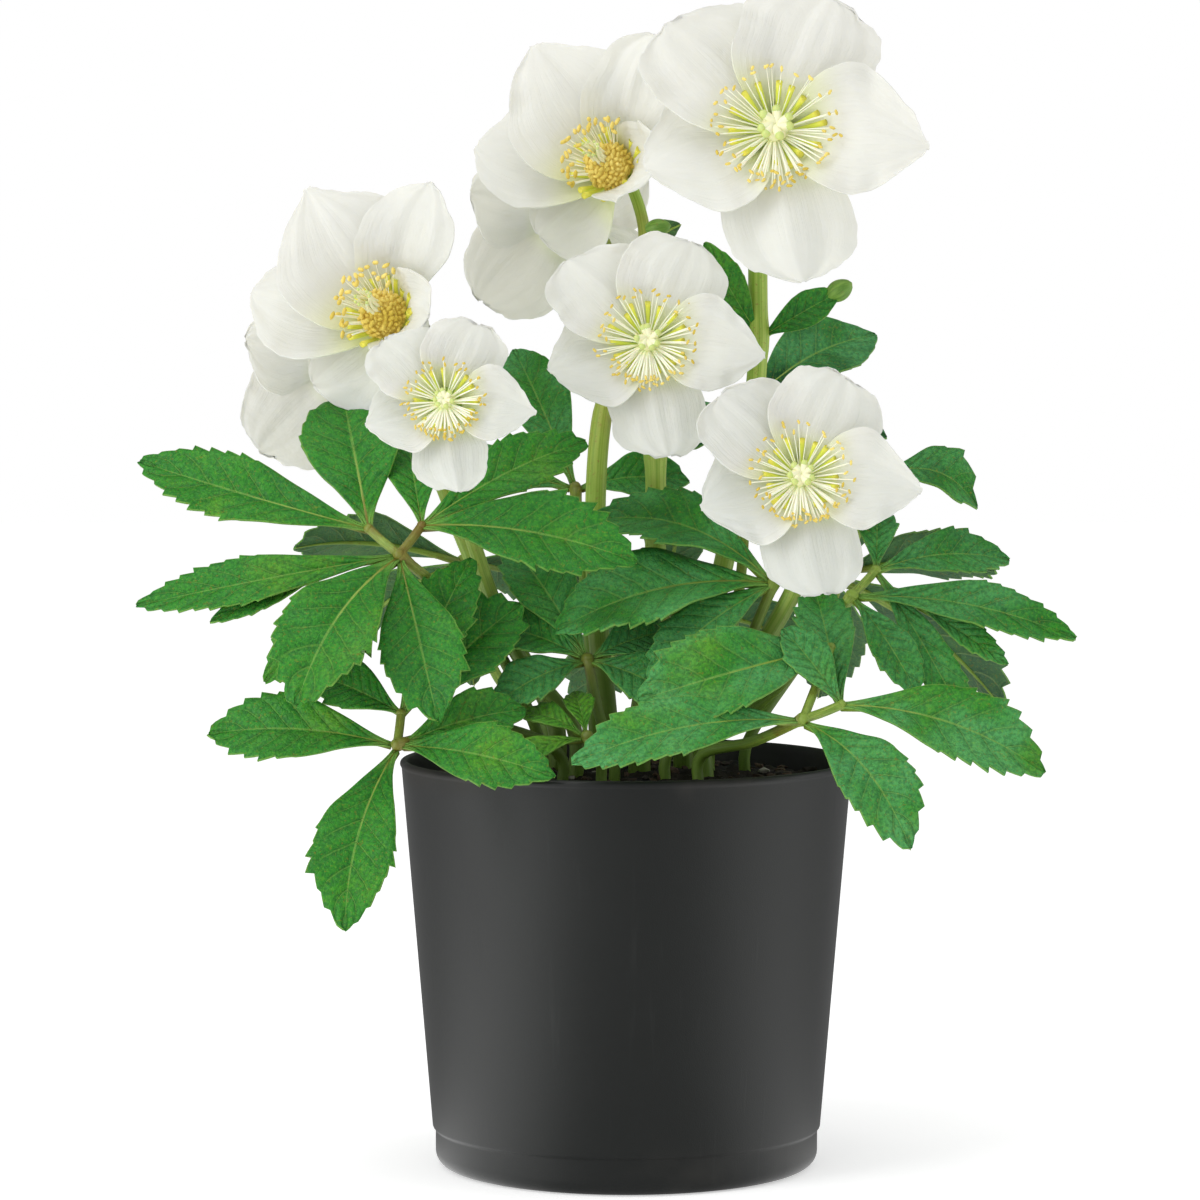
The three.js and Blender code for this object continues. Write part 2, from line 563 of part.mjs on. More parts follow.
const SEPAL_STATIONS = [0, 0.28, 0.54, 0.8, 1];
const SEPAL_ACROSS = [-1, -0.4, 0.4, 1];

// A sepal rises from the receptacle and flares out, hollow across.
function sepal(bloom, { at, length, width, pointed, hook, rise, lifts }) {
  const { axis, right, up } = bloomAxes(bloom);
  const turn = radians(at);
  const out = right.clone().multiplyScalar(Math.cos(turn)).addScaledVector(up, Math.sin(turn));
  const across = axis.clone().cross(out);
  const [from, to] = rise.map(radians);
  const long = length * bloom.size - SEPAL.start;
  const point = (t, s, drop) => {
    const slope = from + (to - from) * t;
    const reach = SEPAL.start + (long * (Math.sin(slope) - Math.sin(from))) / (to - from);
    const high = (long * (Math.cos(from) - Math.cos(slope))) / (to - from);
    const half = (width * bloom.size * sepalOutline(t, pointed)) / 2;
    const roll = Math.sin(slope) * Math.min(SEPAL.roll, half / (2 * reach));
    const hollow = SEPAL.cup * (1 - t / 2) + roll + SEPAL.wave * Math.sin(SEPAL.waves * t);
    const edge = lifts[s > 0 ? 1 : 0] > 0 ? SEPAL.over : -SEPAL.under;
    const lift = edge * Math.min(1, t / SEPAL.liftFrom);
    const bow = half * (hollow * s * s + lift * Math.abs(s)) - drop;
    return vec(bloom.centre)
      .addScaledVector(out, reach - bow * Math.sin(slope))
      .addScaledVector(axis, high + bow * Math.cos(slope))
      .addScaledVector(across, s * half + hook * bloom.size * t ** 3);
  };
  return blade(SEPAL_STATIONS.map((t) =>
    SEPAL_ACROSS.map((s) => ({ top: point(t, s, 0), under: point(t, s, SEPAL.thick) })),
  ));
}

function sepals(bloom) {
  const { axis } = bloomAxes(bloom);
  const { radius, neck, back, top, front, sides } = RECEPTACLE;
  const profile = [[0, -back], [neck, -back], [radius, 0], [top, front], [0, front]];
  const receptacle = turned(profile, sides, vec(bloom.centre), axis);
  return fuse([receptacle, ...bloom.form.map((shape) => sepal(bloom, shape))]);
}

const HEART_FOOT = RECEPTACLE.front + SEAT;

// A slim rod with its own profile, rising from a ring on a bloom's heart and leaning off the bloom's
// axis.
function rod(bloom, profile, { ring, lean, around }) {
  const { axis, right, up } = bloomAxes(bloom);
  const [off, turn] = [radians(lean), radians(around)];
  const out = right.clone().multiplyScalar(Math.cos(turn)).addScaledVector(up, Math.sin(turn));
  const along = axis.clone().multiplyScalar(Math.cos(off)).addScaledVector(out, Math.sin(off));
  const foot = vec(bloom.centre).addScaledVector(axis, HEART_FOOT + STAMEN.sunk);
  return turned(profile, STAMEN.sides, foot.addScaledVector(out, ring), along.normalize());
}

// The stamens' brush round the pistils, on a low heart. The stamens spread evenly over the brush, and
// the inner ones are shorter.
function stamens(bloom) {
  const { spread, length, count, fan, pistils, dome } = BRUSHES.get(bloom.form);
  const { axis } = bloomAxes(bloom);
  const centre = vec(bloom.centre);
  const heartTop = HEART_FOOT + HEART.height;
  const heart = [[0, HEART_FOOT], [HEART.radius, HEART_FOOT], [HEART.top, heartTop], [0, heartTop]];
  const [tall, stout] = pistils.map((value) => (value * bloom.size) / PISTIL.bloom);
  const top = HEART_FOOT + tall;
  const foot = heartTop - PISTIL.sunk;
  const knot = [[0, foot], [PISTIL.foot, foot], [stout, top - PISTIL.dome], [0, top]];
  const pieces = [turned(heart, HEART.sides, centre, axis), turned(knot, PISTIL.sides, centre, axis)];
  if (dome) {
    const [wide, low, high] = [dome.radius, dome.foot, dome.height].map((share) => share * bloom.size);
    const bulge = [[0, low - high / 4], [0.8 * wide, low], [wide, low + high / 4], [0, low + high]];
    pieces.push(turned(bulge, STAMEN.sides + PISTIL.sides, centre, axis));
  }
  for (let k = 0; k < count; k++) {
    const share = Math.sqrt(lerp(STAMEN.inmost ** 2, 1, k / (count - 1)));
    const far = length * bloom.size * lerp(STAMEN.innerLength, 1, share);
    const profile = [[0, 0], [STAMEN.foot, 0], [STAMEN.anther, far - STAMEN.tip], [0, far]];
    const around = lerp(...fan, (k * GOLDEN_SHARE) % 1);
    pieces.push(rod(bloom, profile, { ring: STAMEN.ring * share, lean: lerp(...spread, share), around }));
  }
  return fuse(pieces);
}

// ---------------------------------------------------------------- materials and assembly

function finish(color, roughness) {
  return new THREE.MeshStandardMaterial({ color, roughness, metalness: 0 });
}

const MATERIALS = {
  pot: finish(0x353836, 0.45),
  soil: finish(0x1d1a17, 0.95),
  stem: finish(0x8fae55, 0.5),
  leaf: finish(0x2f7a34, 0.45),
  sepal: finish(0xf3f2ea, 0.55),
  stamen: finish(0xe6cf5e, 0.6),
};

const plant = new THREE.Group();
plant.add(meshOf("pot", pot(), MATERIALS.pot));
plant.add(meshOf("soil", soil(), MATERIALS.soil));
for (const stem of FLOWER_STEMS) {
  plant.add(meshOf(`flower_stem_${stem.name}`, flowerStem(stem), MATERIALS.stem));
}
for (const shape of LEAVES) {
  plant.add(meshOf(`leaf_${shape.name}`, leaf(shape), MATERIALS.leaf));
}
for (const bloom of BLOOMS) {
  plant.add(meshOf(`sepals_${bloom.name}`, sepals(bloom), MATERIALS.sepal));
  plant.add(meshOf(`stamens_${bloom.name}`, stamens(bloom), MATERIALS.stamen));
}

export default plant;
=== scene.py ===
import math
import random

import bmesh
import bpy
from mathutils import Matrix, Vector, noise


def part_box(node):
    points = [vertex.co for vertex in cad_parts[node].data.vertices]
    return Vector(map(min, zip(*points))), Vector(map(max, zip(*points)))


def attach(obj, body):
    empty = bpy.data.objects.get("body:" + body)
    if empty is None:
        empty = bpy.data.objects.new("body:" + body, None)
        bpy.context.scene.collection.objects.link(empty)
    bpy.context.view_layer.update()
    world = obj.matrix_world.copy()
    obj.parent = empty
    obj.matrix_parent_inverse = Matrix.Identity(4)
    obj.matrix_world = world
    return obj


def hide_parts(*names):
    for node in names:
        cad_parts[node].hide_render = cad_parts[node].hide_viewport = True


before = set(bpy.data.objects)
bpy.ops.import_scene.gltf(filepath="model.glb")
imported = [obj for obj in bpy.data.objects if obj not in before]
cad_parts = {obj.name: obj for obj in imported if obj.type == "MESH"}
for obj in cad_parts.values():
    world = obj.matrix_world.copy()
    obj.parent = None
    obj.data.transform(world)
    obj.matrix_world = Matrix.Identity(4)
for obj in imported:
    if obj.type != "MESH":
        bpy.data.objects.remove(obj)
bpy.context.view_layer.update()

# ---------------------------------------------------------------- camera
# A long lens stands a metre and a half in front of the plant, level with its upper blooms, and looks a
# little down on it.
CAMERA_PLACE = Vector((-0.0082, -1.5, 0.274))
CAMERA_AIM = Vector((-0.0082, 0.0, 0.175))
CAMERA_LENS = 146.2  # mm, on a sensor 36 mm wide

lens = bpy.data.cameras.new("camera")
lens.lens = CAMERA_LENS
lens.sensor_width = 36
lens.clip_end = 20
camera = bpy.data.objects.new("camera", lens)
camera.location = CAMERA_PLACE
camera.rotation_euler = (CAMERA_AIM - CAMERA_PLACE).to_track_quat("-Z", "Y").to_euler()
bpy.context.scene.collection.objects.link(camera)
bpy.context.scene.camera = camera

# ---------------------------------------------------------------- studio
# A bright white room lights the plant evenly. A softbox to the front left and a tall one far to the right
# model it, and the floor is a plain white sweep. In glossy rays only, the sweep also glows in painted
# reflection strips, dim in front and bright at both sides, which with the softboxes give the bands on the
# pot.
WHITE = (1, 1, 1)
ROOM_LIGHT = 0.65
ROOM_IN_GLOSS = 0.25  # the room behind the camera is darker, so it mirrors less than it lights
SOFTBOXES = {  # place, width and height in metres, power in watts
    "softbox_left": ((-1.0, -0.85, 0.62), 0.55, 1.1, 6.5),
    "softbox_right": ((1.25, 0.2, 0.5), 0.5, 1.1, 2.5),
    "softbox_top": ((-0.25, -0.35, 1.5), 0.9, 0.9, 4.5),
}
LIT_POINT = Vector((0, 0, 0.18))

for name, (place, width, height, power) in SOFTBOXES.items():
    light = bpy.data.lights.new(name, "AREA")
    light.shape = "RECTANGLE"
    light.size = width
    light.size_y = height
    light.energy = power
    softbox = bpy.data.objects.new(name, light)
    softbox.location = place
    softbox.rotation_euler = (LIT_POINT - Vector(place)).to_track_quat("-Z", "Y").to_euler()
    bpy.context.scene.collection.objects.link(softbox)


class Wire:
    """A shader node's output. Sums take it like a number, and wire[name] is its node's output by name."""

    def __init__(self, socket):
        self.socket = socket
        self.tree = socket.id_data

    def __getitem__(self, name):
        return Wire(self.socket.node.outputs[name])

    def __add__(self, other):
        return summed("ADD", self, other)

    def __sub__(self, other):
        return summed("SUBTRACT", self, other)

    def __rsub__(self, other):
        return summed("SUBTRACT", other, self)

    def __mul__(self, other):
        return summed("MULTIPLY", self, other)

    def __truediv__(self, other):
        return summed("DIVIDE", self, other)


def joined(value, socket):
    """Links a wire to a socket, or sets a plain value on it. A plain colour is opaque."""
    if isinstance(value, Wire):
        value.tree.links.new(value.socket, socket)
    else:
        socket.default_value = (*value, 1) if socket.type == "RGBA" else value


def wired(tree, kind, inputs=(), **settings):
    """Adds a shader node with its inputs, which are plain values or wires, and gives its first output."""
    made = tree.nodes.new(kind if kind.startswith("NodeGroup") else "ShaderNode" + kind)
    for name, value in settings.items():
        setattr(made, name, value)
    for name, value in dict(inputs).items():
        joined(value, made.inputs[name])
    return Wire(made.outputs[0]) if made.outputs else None


def summed(operation, *terms, **settings):
    """One sum on wires and numbers."""
    tree = next(term.tree for term in terms if isinstance(term, Wire))
    return wired(tree, "Math", dict(enumerate(terms)), operation=operation, **settings)


def between(wire, low, high):
    """0 below low and 1 above high, with a smooth step between them. With low above high it falls."""
    inputs = {"Value": wire, "From Min": low, "From Max": high}
    return wired(wire.tree, "MapRange", inputs, interpolation_type="SMOOTHSTEP")


def place_in(tree):
    """Where a point is on its piece, in metres."""
    return wired(tree, "TexCoord")["Object"]


def noise_in(place, scale, detail=2.0, roughness=0.5):
    """Soft noise from 0 to 1, in cells of one over the scale."""
    inputs = {"Vector": place, "Scale": scale, "Detail": detail, "Roughness": roughness}
    return wired(place.tree, "TexNoise", inputs)["Fac"]


def mixed(share, first, second):
    """A colour between two, by a share from 0 to 1."""
    return wired(share.tree, "Mix", {0: share, 6: first, 7: second}, data_type="RGBA")[2]


def feed(shader, **inputs):
    """Joins wires and plain values to a shader's own sockets."""
    for name, value in inputs.items():
        joined(value, shader.inputs[name.replace("_", " ")])


def material(name, **constants):
    """A new material, its tree and its shader, with what is the same all over set on the shader itself."""
    made = bpy.data.materials.new(name)
    made.use_nodes = True
    shader = made.node_tree.nodes["Principled BSDF"]
    feed(shader, **constants)
    return made, made.node_tree, shader


world = bpy.data.worlds.new("studio")
world.use_nodes = True
tree = world.node_tree
tree.nodes.clear()
rays = wired(tree, "LightPath")
room = wired(tree, "Background", {"Color": WHITE, "Strength": ROOM_LIGHT})
gloss = wired(tree, "Background", {"Color": WHITE, "Strength": ROOM_IN_GLOSS})
unseen = wired(tree, "MixShader", {0: rays["Is Glossy Ray"], 1: room, 2: gloss})
backdrop = wired(tree, "Background", {"Color": WHITE, "Strength": 1.0})
sky = wired(tree, "MixShader", {0: rays["Is Camera Ray"], 1: unseen, 2: backdrop})
wired(tree, "OutputWorld", {"Surface": sky})
bpy.context.scene.world = world
bpy.context.scene.view_settings.view_transform = "Standard"

FLOOR_RADIUS = 4.0
FLOOR_STEPS = 96
FLOOR_GLOW = 0.46
MIRRORED_FRONT = 0.36  # painted reflection: in glossy rays only the sweep glows, dim in front and bright at both sides, for the pot to mirror
MIRRORED_LEFT = 1.55
MIRRORED_RIGHT = 1.0

floor_finish, tree, shader = material(
    "white sweep", Roughness=0.9, Specular_IOR_Level=0.1, Emission_Color=WHITE, Emission_Strength=FLOOR_GLOW)
place = place_in(tree)
feed(shader, Base_Color=mixed(noise_in(place, 3), (0.86, 0.86, 0.86), (0.88, 0.88, 0.88)))
# Painted reflection: seen only in glossy rays, the sweep glows in strips at both sides and dimly in front,
# and the pot mirrors them as bands.
bearing = wired(tree, "VectorMath", {0: place}, operation="NORMALIZE")
bearing = wired(tree, "SeparateXYZ", {0: bearing})
left = between(bearing["X"], -0.25, -1.05) * MIRRORED_LEFT
right = between(bearing["X"], 0.4, 1.05) * MIRRORED_RIGHT
sides = (left + right) * between(bearing["Y"], 0.6, -0.35)
painted_reflection_strips = wired(tree, "Emission", {"Strength": sides + MIRRORED_FRONT})
mirrored = wired(tree, "LightPath")["Is Glossy Ray"]
surface = wired(tree, "MixShader", {0: mirrored, 1: Wire(shader.outputs[0]), 2: painted_reflection_strips})
joined(surface, tree.nodes["Material Output"].inputs["Surface"])
bm = bmesh.new()
bmesh.ops.create_circle(bm, cap_ends=True, segments=FLOOR_STEPS, radius=FLOOR_RADIUS)
mesh = bpy.data.meshes.new("floor")
bm.to_mesh(mesh)
bm.free()
mesh.materials.append(floor_finish)
floor = bpy.data.objects.new("floor", mesh)
bpy.context.scene.collection.objects.link(floor)

# ---------------------------------------------------------------- pot
# One injection-moulded polypropylene pot, charcoal with a fine satin grain. Its wall tapers down to a
# short foot that steps in, and its rim ends in a small bead. Meshes are built in millimetres.
MM = 0.001
POT_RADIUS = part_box("pot")[1].x / MM
POT_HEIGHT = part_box("pot")[1].z / MM
POT_WALL = 2.2
POT_FLOOR = 3
BEAD = 1.3  # radius of the rim's bead
FOOT_RADIUS = 59.2
FOOT_HEIGHT = 12
FOOT_STEP = 0.9
FOOT_ROUND = 4.5
POT_EDGE = 0.35  # radius of its other moulded edges
POT_RING = 30  # radius of a ring in the flat underside
POT_STEPS = 144


def stretched(place, *scale):
    """A place scaled along its axes, so that noise in it runs in streaks."""
    return wired(place.tree, "Mapping", {"Vector": place, "Scale": scale})


pot_finish, tree, shader = material("charcoal plastic", Specular_IOR_Level=0.42)
place = place_in(tree)
height = wired(tree, "SeparateXYZ", {0: place})["Z"]
cloudy = noise_in(place, 22, 4, 0.6)
grain = noise_in(place, 2600, 2, 0.6)
scuffs = between(noise_in(stretched(place, 240, 240, 9), 1, 3, 0.55), 0.60, 0.78)
dust = between(height, 0.116, 0.1262) * between(cloudy, 0.42, 0.66)
splashes = between(height, 0.02, 0.0) * between(cloudy, 0.46, 0.62)
colour = mixed(cloudy, (0.0085, 0.0100, 0.0092), (0.0125, 0.0145, 0.0133))
colour = mixed(scuffs * 0.14, colour, (0.05, 0.052, 0.05))
colour = mixed(dust * 0.30, colour, (0.075, 0.062, 0.048))
colour = mixed(splashes * 0.22, colour, (0.06, 0.055, 0.046))
feed(shader, Base_Color=colour, Roughness=cloudy * 0.10 + dust * 0.25 + scuffs * 0.07 + 0.37)


def bumped(shader, height, depth):
    """Gives a shader relief of a depth in metres from a height that goes from 0 to 1."""
    feed(shader, Normal=wired(height.tree, "Bump", {"Height": height, "Distance": depth, "Strength": 1.0}))


bumped(shader, grain + scuffs * 0.5, 0.00004)


def arc(centre, radius, start, end, steps):
    """Points of a round stretch in a profile, from one angle in degrees to another."""
    angles = [math.radians(start + (end - start) * k / steps) for k in range(steps + 1)]
    return [(centre[0] + radius * math.cos(a), centre[1] + radius * math.sin(a)) for a in angles]


def spun(profile, steps):
    """A round mesh: a profile of radius and height, turned once round the upright axis."""
    bm = bmesh.new()
    line = [bm.verts.new((radius, 0, height)) for radius, height in profile]
    edges = [bm.edges.new(pair) for pair in zip(line, line[1:])]
    turn = {"cent": (0, 0, 0), "axis": (0, 0, 1), "angle": 2 * math.pi, "steps": steps}
    bmesh.ops.spin(bm, geom=line + edges, use_merge=True, **turn)
    bmesh.ops.remove_doubles(bm, verts=bm.verts[:], dist=1e-4)
    bmesh.ops.recalc_face_normals(bm, faces=bm.faces[:])
    return bm


def finished(name, bm, *finishes):
    """An object in metres from a mesh built in millimetres, smooth all over, in its finishes."""
    bmesh.ops.scale(bm, vec=(MM, MM, MM), verts=bm.verts[:])
    mesh = bpy.data.meshes.new(name)
    bm.to_mesh(mesh)
    bm.free()
    for finish in finishes:
        mesh.materials.append(finish)
    mesh.shade_smooth()
    made = bpy.data.objects.new(name, mesh)
    bpy.context.scene.collection.objects.link(made)
    return made


def pot_inside(height):
    """Inner radius of the pot's wall at a height."""
    low = FOOT_RADIUS - POT_WALL
    return low + (POT_RADIUS - POT_WALL - low) * height / POT_HEIGHT


profile = [(0, 0), (POT_RING, 0)]
profile += arc((FOOT_RADIUS - FOOT_ROUND, FOOT_ROUND), FOOT_ROUND, -90, 0, 8)
profile += [(FOOT_RADIUS, FOOT_HEIGHT - FOOT_STEP), (FOOT_RADIUS + FOOT_STEP, FOOT_HEIGHT)]
profile += arc((POT_RADIUS - BEAD, POT_HEIGHT - BEAD), BEAD, -52, 132, 10)
profile += [(pot_inside(POT_HEIGHT - 2 * BEAD), POT_HEIGHT - 2 * BEAD)]
profile += [(pot_inside(POT_FLOOR), POT_FLOOR), (0, POT_FLOOR)]
pot = finished("moulded_pot", spun(profile, POT_STEPS), pot_finish)
edges = pot.modifiers.new("moulded edges", "BEVEL")
edges.width = POT_EDGE * MM
edges.segments = 3
edges.limit_method = "ANGLE"
edges.angle_limit = math.radians(28)
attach(pot, "root")
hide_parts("pot")

# ---------------------------------------------------------------- soil
# Moist peat potting mix fills the pot to 8 mm below the rim, in a low mound round the stems. It is loose
# and crumbly, almost black, with brown bark crumbs and a few pale grains lying on it.
SOIL_BELOW = 8
SOIL_CLEAR = 0.6  # of the pot's wall
SOIL_MOUND = 4
SOIL_CRUMB = 1.1
SOIL_RIPPLE = 0.4
SOIL_SWELL = 0.22
SOIL_RINGS = 46
SOIL_STEPS = 120
SOIL_TOP = POT_HEIGHT - SOIL_BELOW
SOIL_EDGE = pot_inside(SOIL_TOP) - SOIL_CLEAR

peat_finish, tree, shader = material("moist peat", Roughness=0.92, Specular_IOR_Level=0.3)
place = place_in(tree)
colour = mixed(between(noise_in(place, 45, 3), 0.35, 0.65), (0.006, 0.007, 0.010), (0.020, 0.014, 0.010))
colour = mixed(between(noise_in(place, 260, 6, 0.7), 0.55, 0.75), colour, (0.055, 0.034, 0.020))
feed(shader, Base_Color=colour)
bumped(shader, noise_in(place, 900, 5, 0.7), 0.0008)


def soil_height(x, y):
    """Height of the soil's surface: a low mound with coarse crumbs."""
    share = math.hypot(x, y) / pot_inside(POT_HEIGHT)
    crumbs = math.sin(x * SOIL_RIPPLE) * math.cos(y * SOIL_RIPPLE)
    furrows = math.sin(x * SOIL_SWELL - y * SOIL_RIPPLE) / 2
    return SOIL_TOP + SOIL_MOUND * (1 - share * share) + SOIL_CRUMB * (crumbs + furrows)


foot = POT_FLOOR + SOIL_CLEAR / 2
surface = [(SOIL_EDGE * (1 - k / SOIL_RINGS), POT_HEIGHT) for k in range(1, SOIL_RINGS + 1)]
wall = [(0, foot), (pot_inside(POT_FLOOR) - SOIL_CLEAR, foot), (SOIL_EDGE, SOIL_TOP)]
bm = spun(wall + surface, SOIL_STEPS)
for vertex in bm.verts:
    if vertex.co.z > SOIL_TOP + 1:
        x, y = vertex.co.xy
        loose = noise.noise((x * 0.30, y * 0.30, 1)) + 0.6 * noise.noise((x * 0.85, y * 0.85, 5))
        vertex.co.z = soil_height(x, y) + loose
soil = finished("potting_soil", bm, peat_finish)
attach(soil, "root")
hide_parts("soil")

CRUMBS = 420
CRUMB_SIZES = (0.8, 2.6)
CRUMB_WIDTHS = (0.4, 0.8)  # shares of its size, as are its heights and the roughness of its faces
CRUMB_HEIGHTS = (0.25, 0.5)
CRUMB_ROUGH = 0.16
CRUMB_TILT = 0.5
CRUMB_LIE = 0.5  # its middle is this far above the soil
PALE_CRUMBS = 0.06  # share of the crumbs that are pale grains

crumb_finish, tree, shader = material("bark crumbs", Roughness=0.85)
given = wired(tree, "Attribute", attribute_name="shade")["Fac"]
fibres = noise_in(place_in(tree), 700, 4, 0.7)
colour = mixed(between(given, 0.0, 0.9), (0.014, 0.010, 0.008), (0.095, 0.052, 0.026))
colour = mixed(between(given, 0.94, 0.95), colour, (0.42, 0.40, 0.35))
feed(shader, Base_Color=mixed(fibres * 0.6, colour, (0.012, 0.009, 0.007)))
bumped(shader, fibres, 0.0003)

draw = random.Random(11)
bm = bmesh.new()
shades = bm.faces.layers.float.new("shade")
for _ in range(CRUMBS):
    away = (SOIL_EDGE - 2) * math.sqrt(draw.random())
    turn = draw.uniform(0, 2 * math.pi)
    x, y = away * math.cos(turn), away * math.sin(turn)
    size = draw.uniform(*CRUMB_SIZES)
    spin = Matrix.Rotation(draw.uniform(0, 6.3), 4, "Z")
    tilt = Matrix.Rotation(draw.uniform(-CRUMB_TILT, CRUMB_TILT), 4, "X")
    wide, high = size * draw.uniform(*CRUMB_WIDTHS), size * draw.uniform(*CRUMB_HEIGHTS)
    lie = Matrix.Translation((x, y, soil_height(x, y) + CRUMB_LIE))
    stand = lie @ (spin @ tilt) @ Matrix.Diagonal((size, wide, high, 1))
    crumb = bmesh.ops.create_icosphere(bm, subdivisions=1, radius=1, matrix=stand)["verts"]
    pale = draw.random() < PALE_CRUMBS
    shade = 1.0 if pale else draw.uniform(0, 0.9)
    for vertex in crumb:
        vertex.co += Vector([draw.uniform(-CRUMB_ROUGH, CRUMB_ROUGH) * size for _ in range(3)])
        for face in vertex.link_faces:
            face[shades] = shade
crumbs = finished("bark_crumbs", bm, crumb_finish)
crumbs.data.shade_flat()
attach(crumbs, "root")

# ---------------------------------------------------------------- leaves
# Thirteen compound leaves on long fleshy stalks. Each stalk ends in a knob from which leathery leaflets
# fan out, toothed towards their tips, with a pale midrib and side veins pressed into the blade.
HOLE_DEPTH = 14
SEAT = 0.3
STALK_RADIUS = 1.7
STALK_UPRIGHT = 11
ARM_RADIUS = 1.4
ARM_SAG = 0.4
HUB_CLEAR = 1.9
KNOB_RADIUS = 1.95
FLUSH_REACH = 11
WAY_STEPS = 24
WAY_SPACING = 3
LEAFLET_FOLD = 0.22
LEAFLET_ROOT = 0.08
LEAFLET_SLENDER = 1.6
LEAFLET_FULLEST = 0.62
LEAFLET_BLUNT = 0.85
LEAFLET_END = 0.05
TIP_HALF = 0.15
BLADE_THICK = 0.6
RIB_WIDTH = 0.044  # of the pale midrib, as a share of the blade's width
RIB_GROOVE = 0.45
RIB_BELOW = 0.75
RIB_RADIUS = 0.55
RIB_SHARE = 0.022  # of the blade's width, added to its midrib's radius
QUILT = 0.02  # how far the blade swells between its side veins, and its edge waves, as shares of its width
EDGE_WAVE = 0.03
EDGE_WAVES = (2.2, 3.4)  # how many there are along an edge
TWIST = 0.05
TONE_SPREAD = 0.09  # how far a leaflet's tone may be from its leaf's
TOOTHED_FROM = 0.46  # the blade is toothed past this share of its length
TOOTH_PITCH = 4.8
TOOTH_DEPTH = 0.07  # share of the blade's width
TEETH_VARY = (0.25, 1.35)  # the shallowest and the deepest tooth, as shares of that depth
ROWS_A_TOOTH = 4
PLAIN_ROWS = 16
COLUMNS = 14
SIDE_VEINS = 8
VEIN_SLANT = 1.5  # how many vein gaps a side vein climbs on its way to the edge
# The least painted sheen on a leaf: pale bluish patches in its colour that stand in for mirrored sky.
PLAIN_PAINTED_SHEEN = 0.1
RUSTY = (0.28, 0.17, 0.02)
DULL_AND_SHADED_STALK = (0.10, 0.19, 0.02)
DULL_AND_SHADED_HEIGHTS = (0.215, 0.150)  # metres: stalks are pale above the first height and darker below the second, partly a duller base, partly painted shade
DULL_AND_SHADED_REACHES = (0.065, 0.045)  # metres from the pot's axis: and they are darker only near it, in painted shade under the leaves
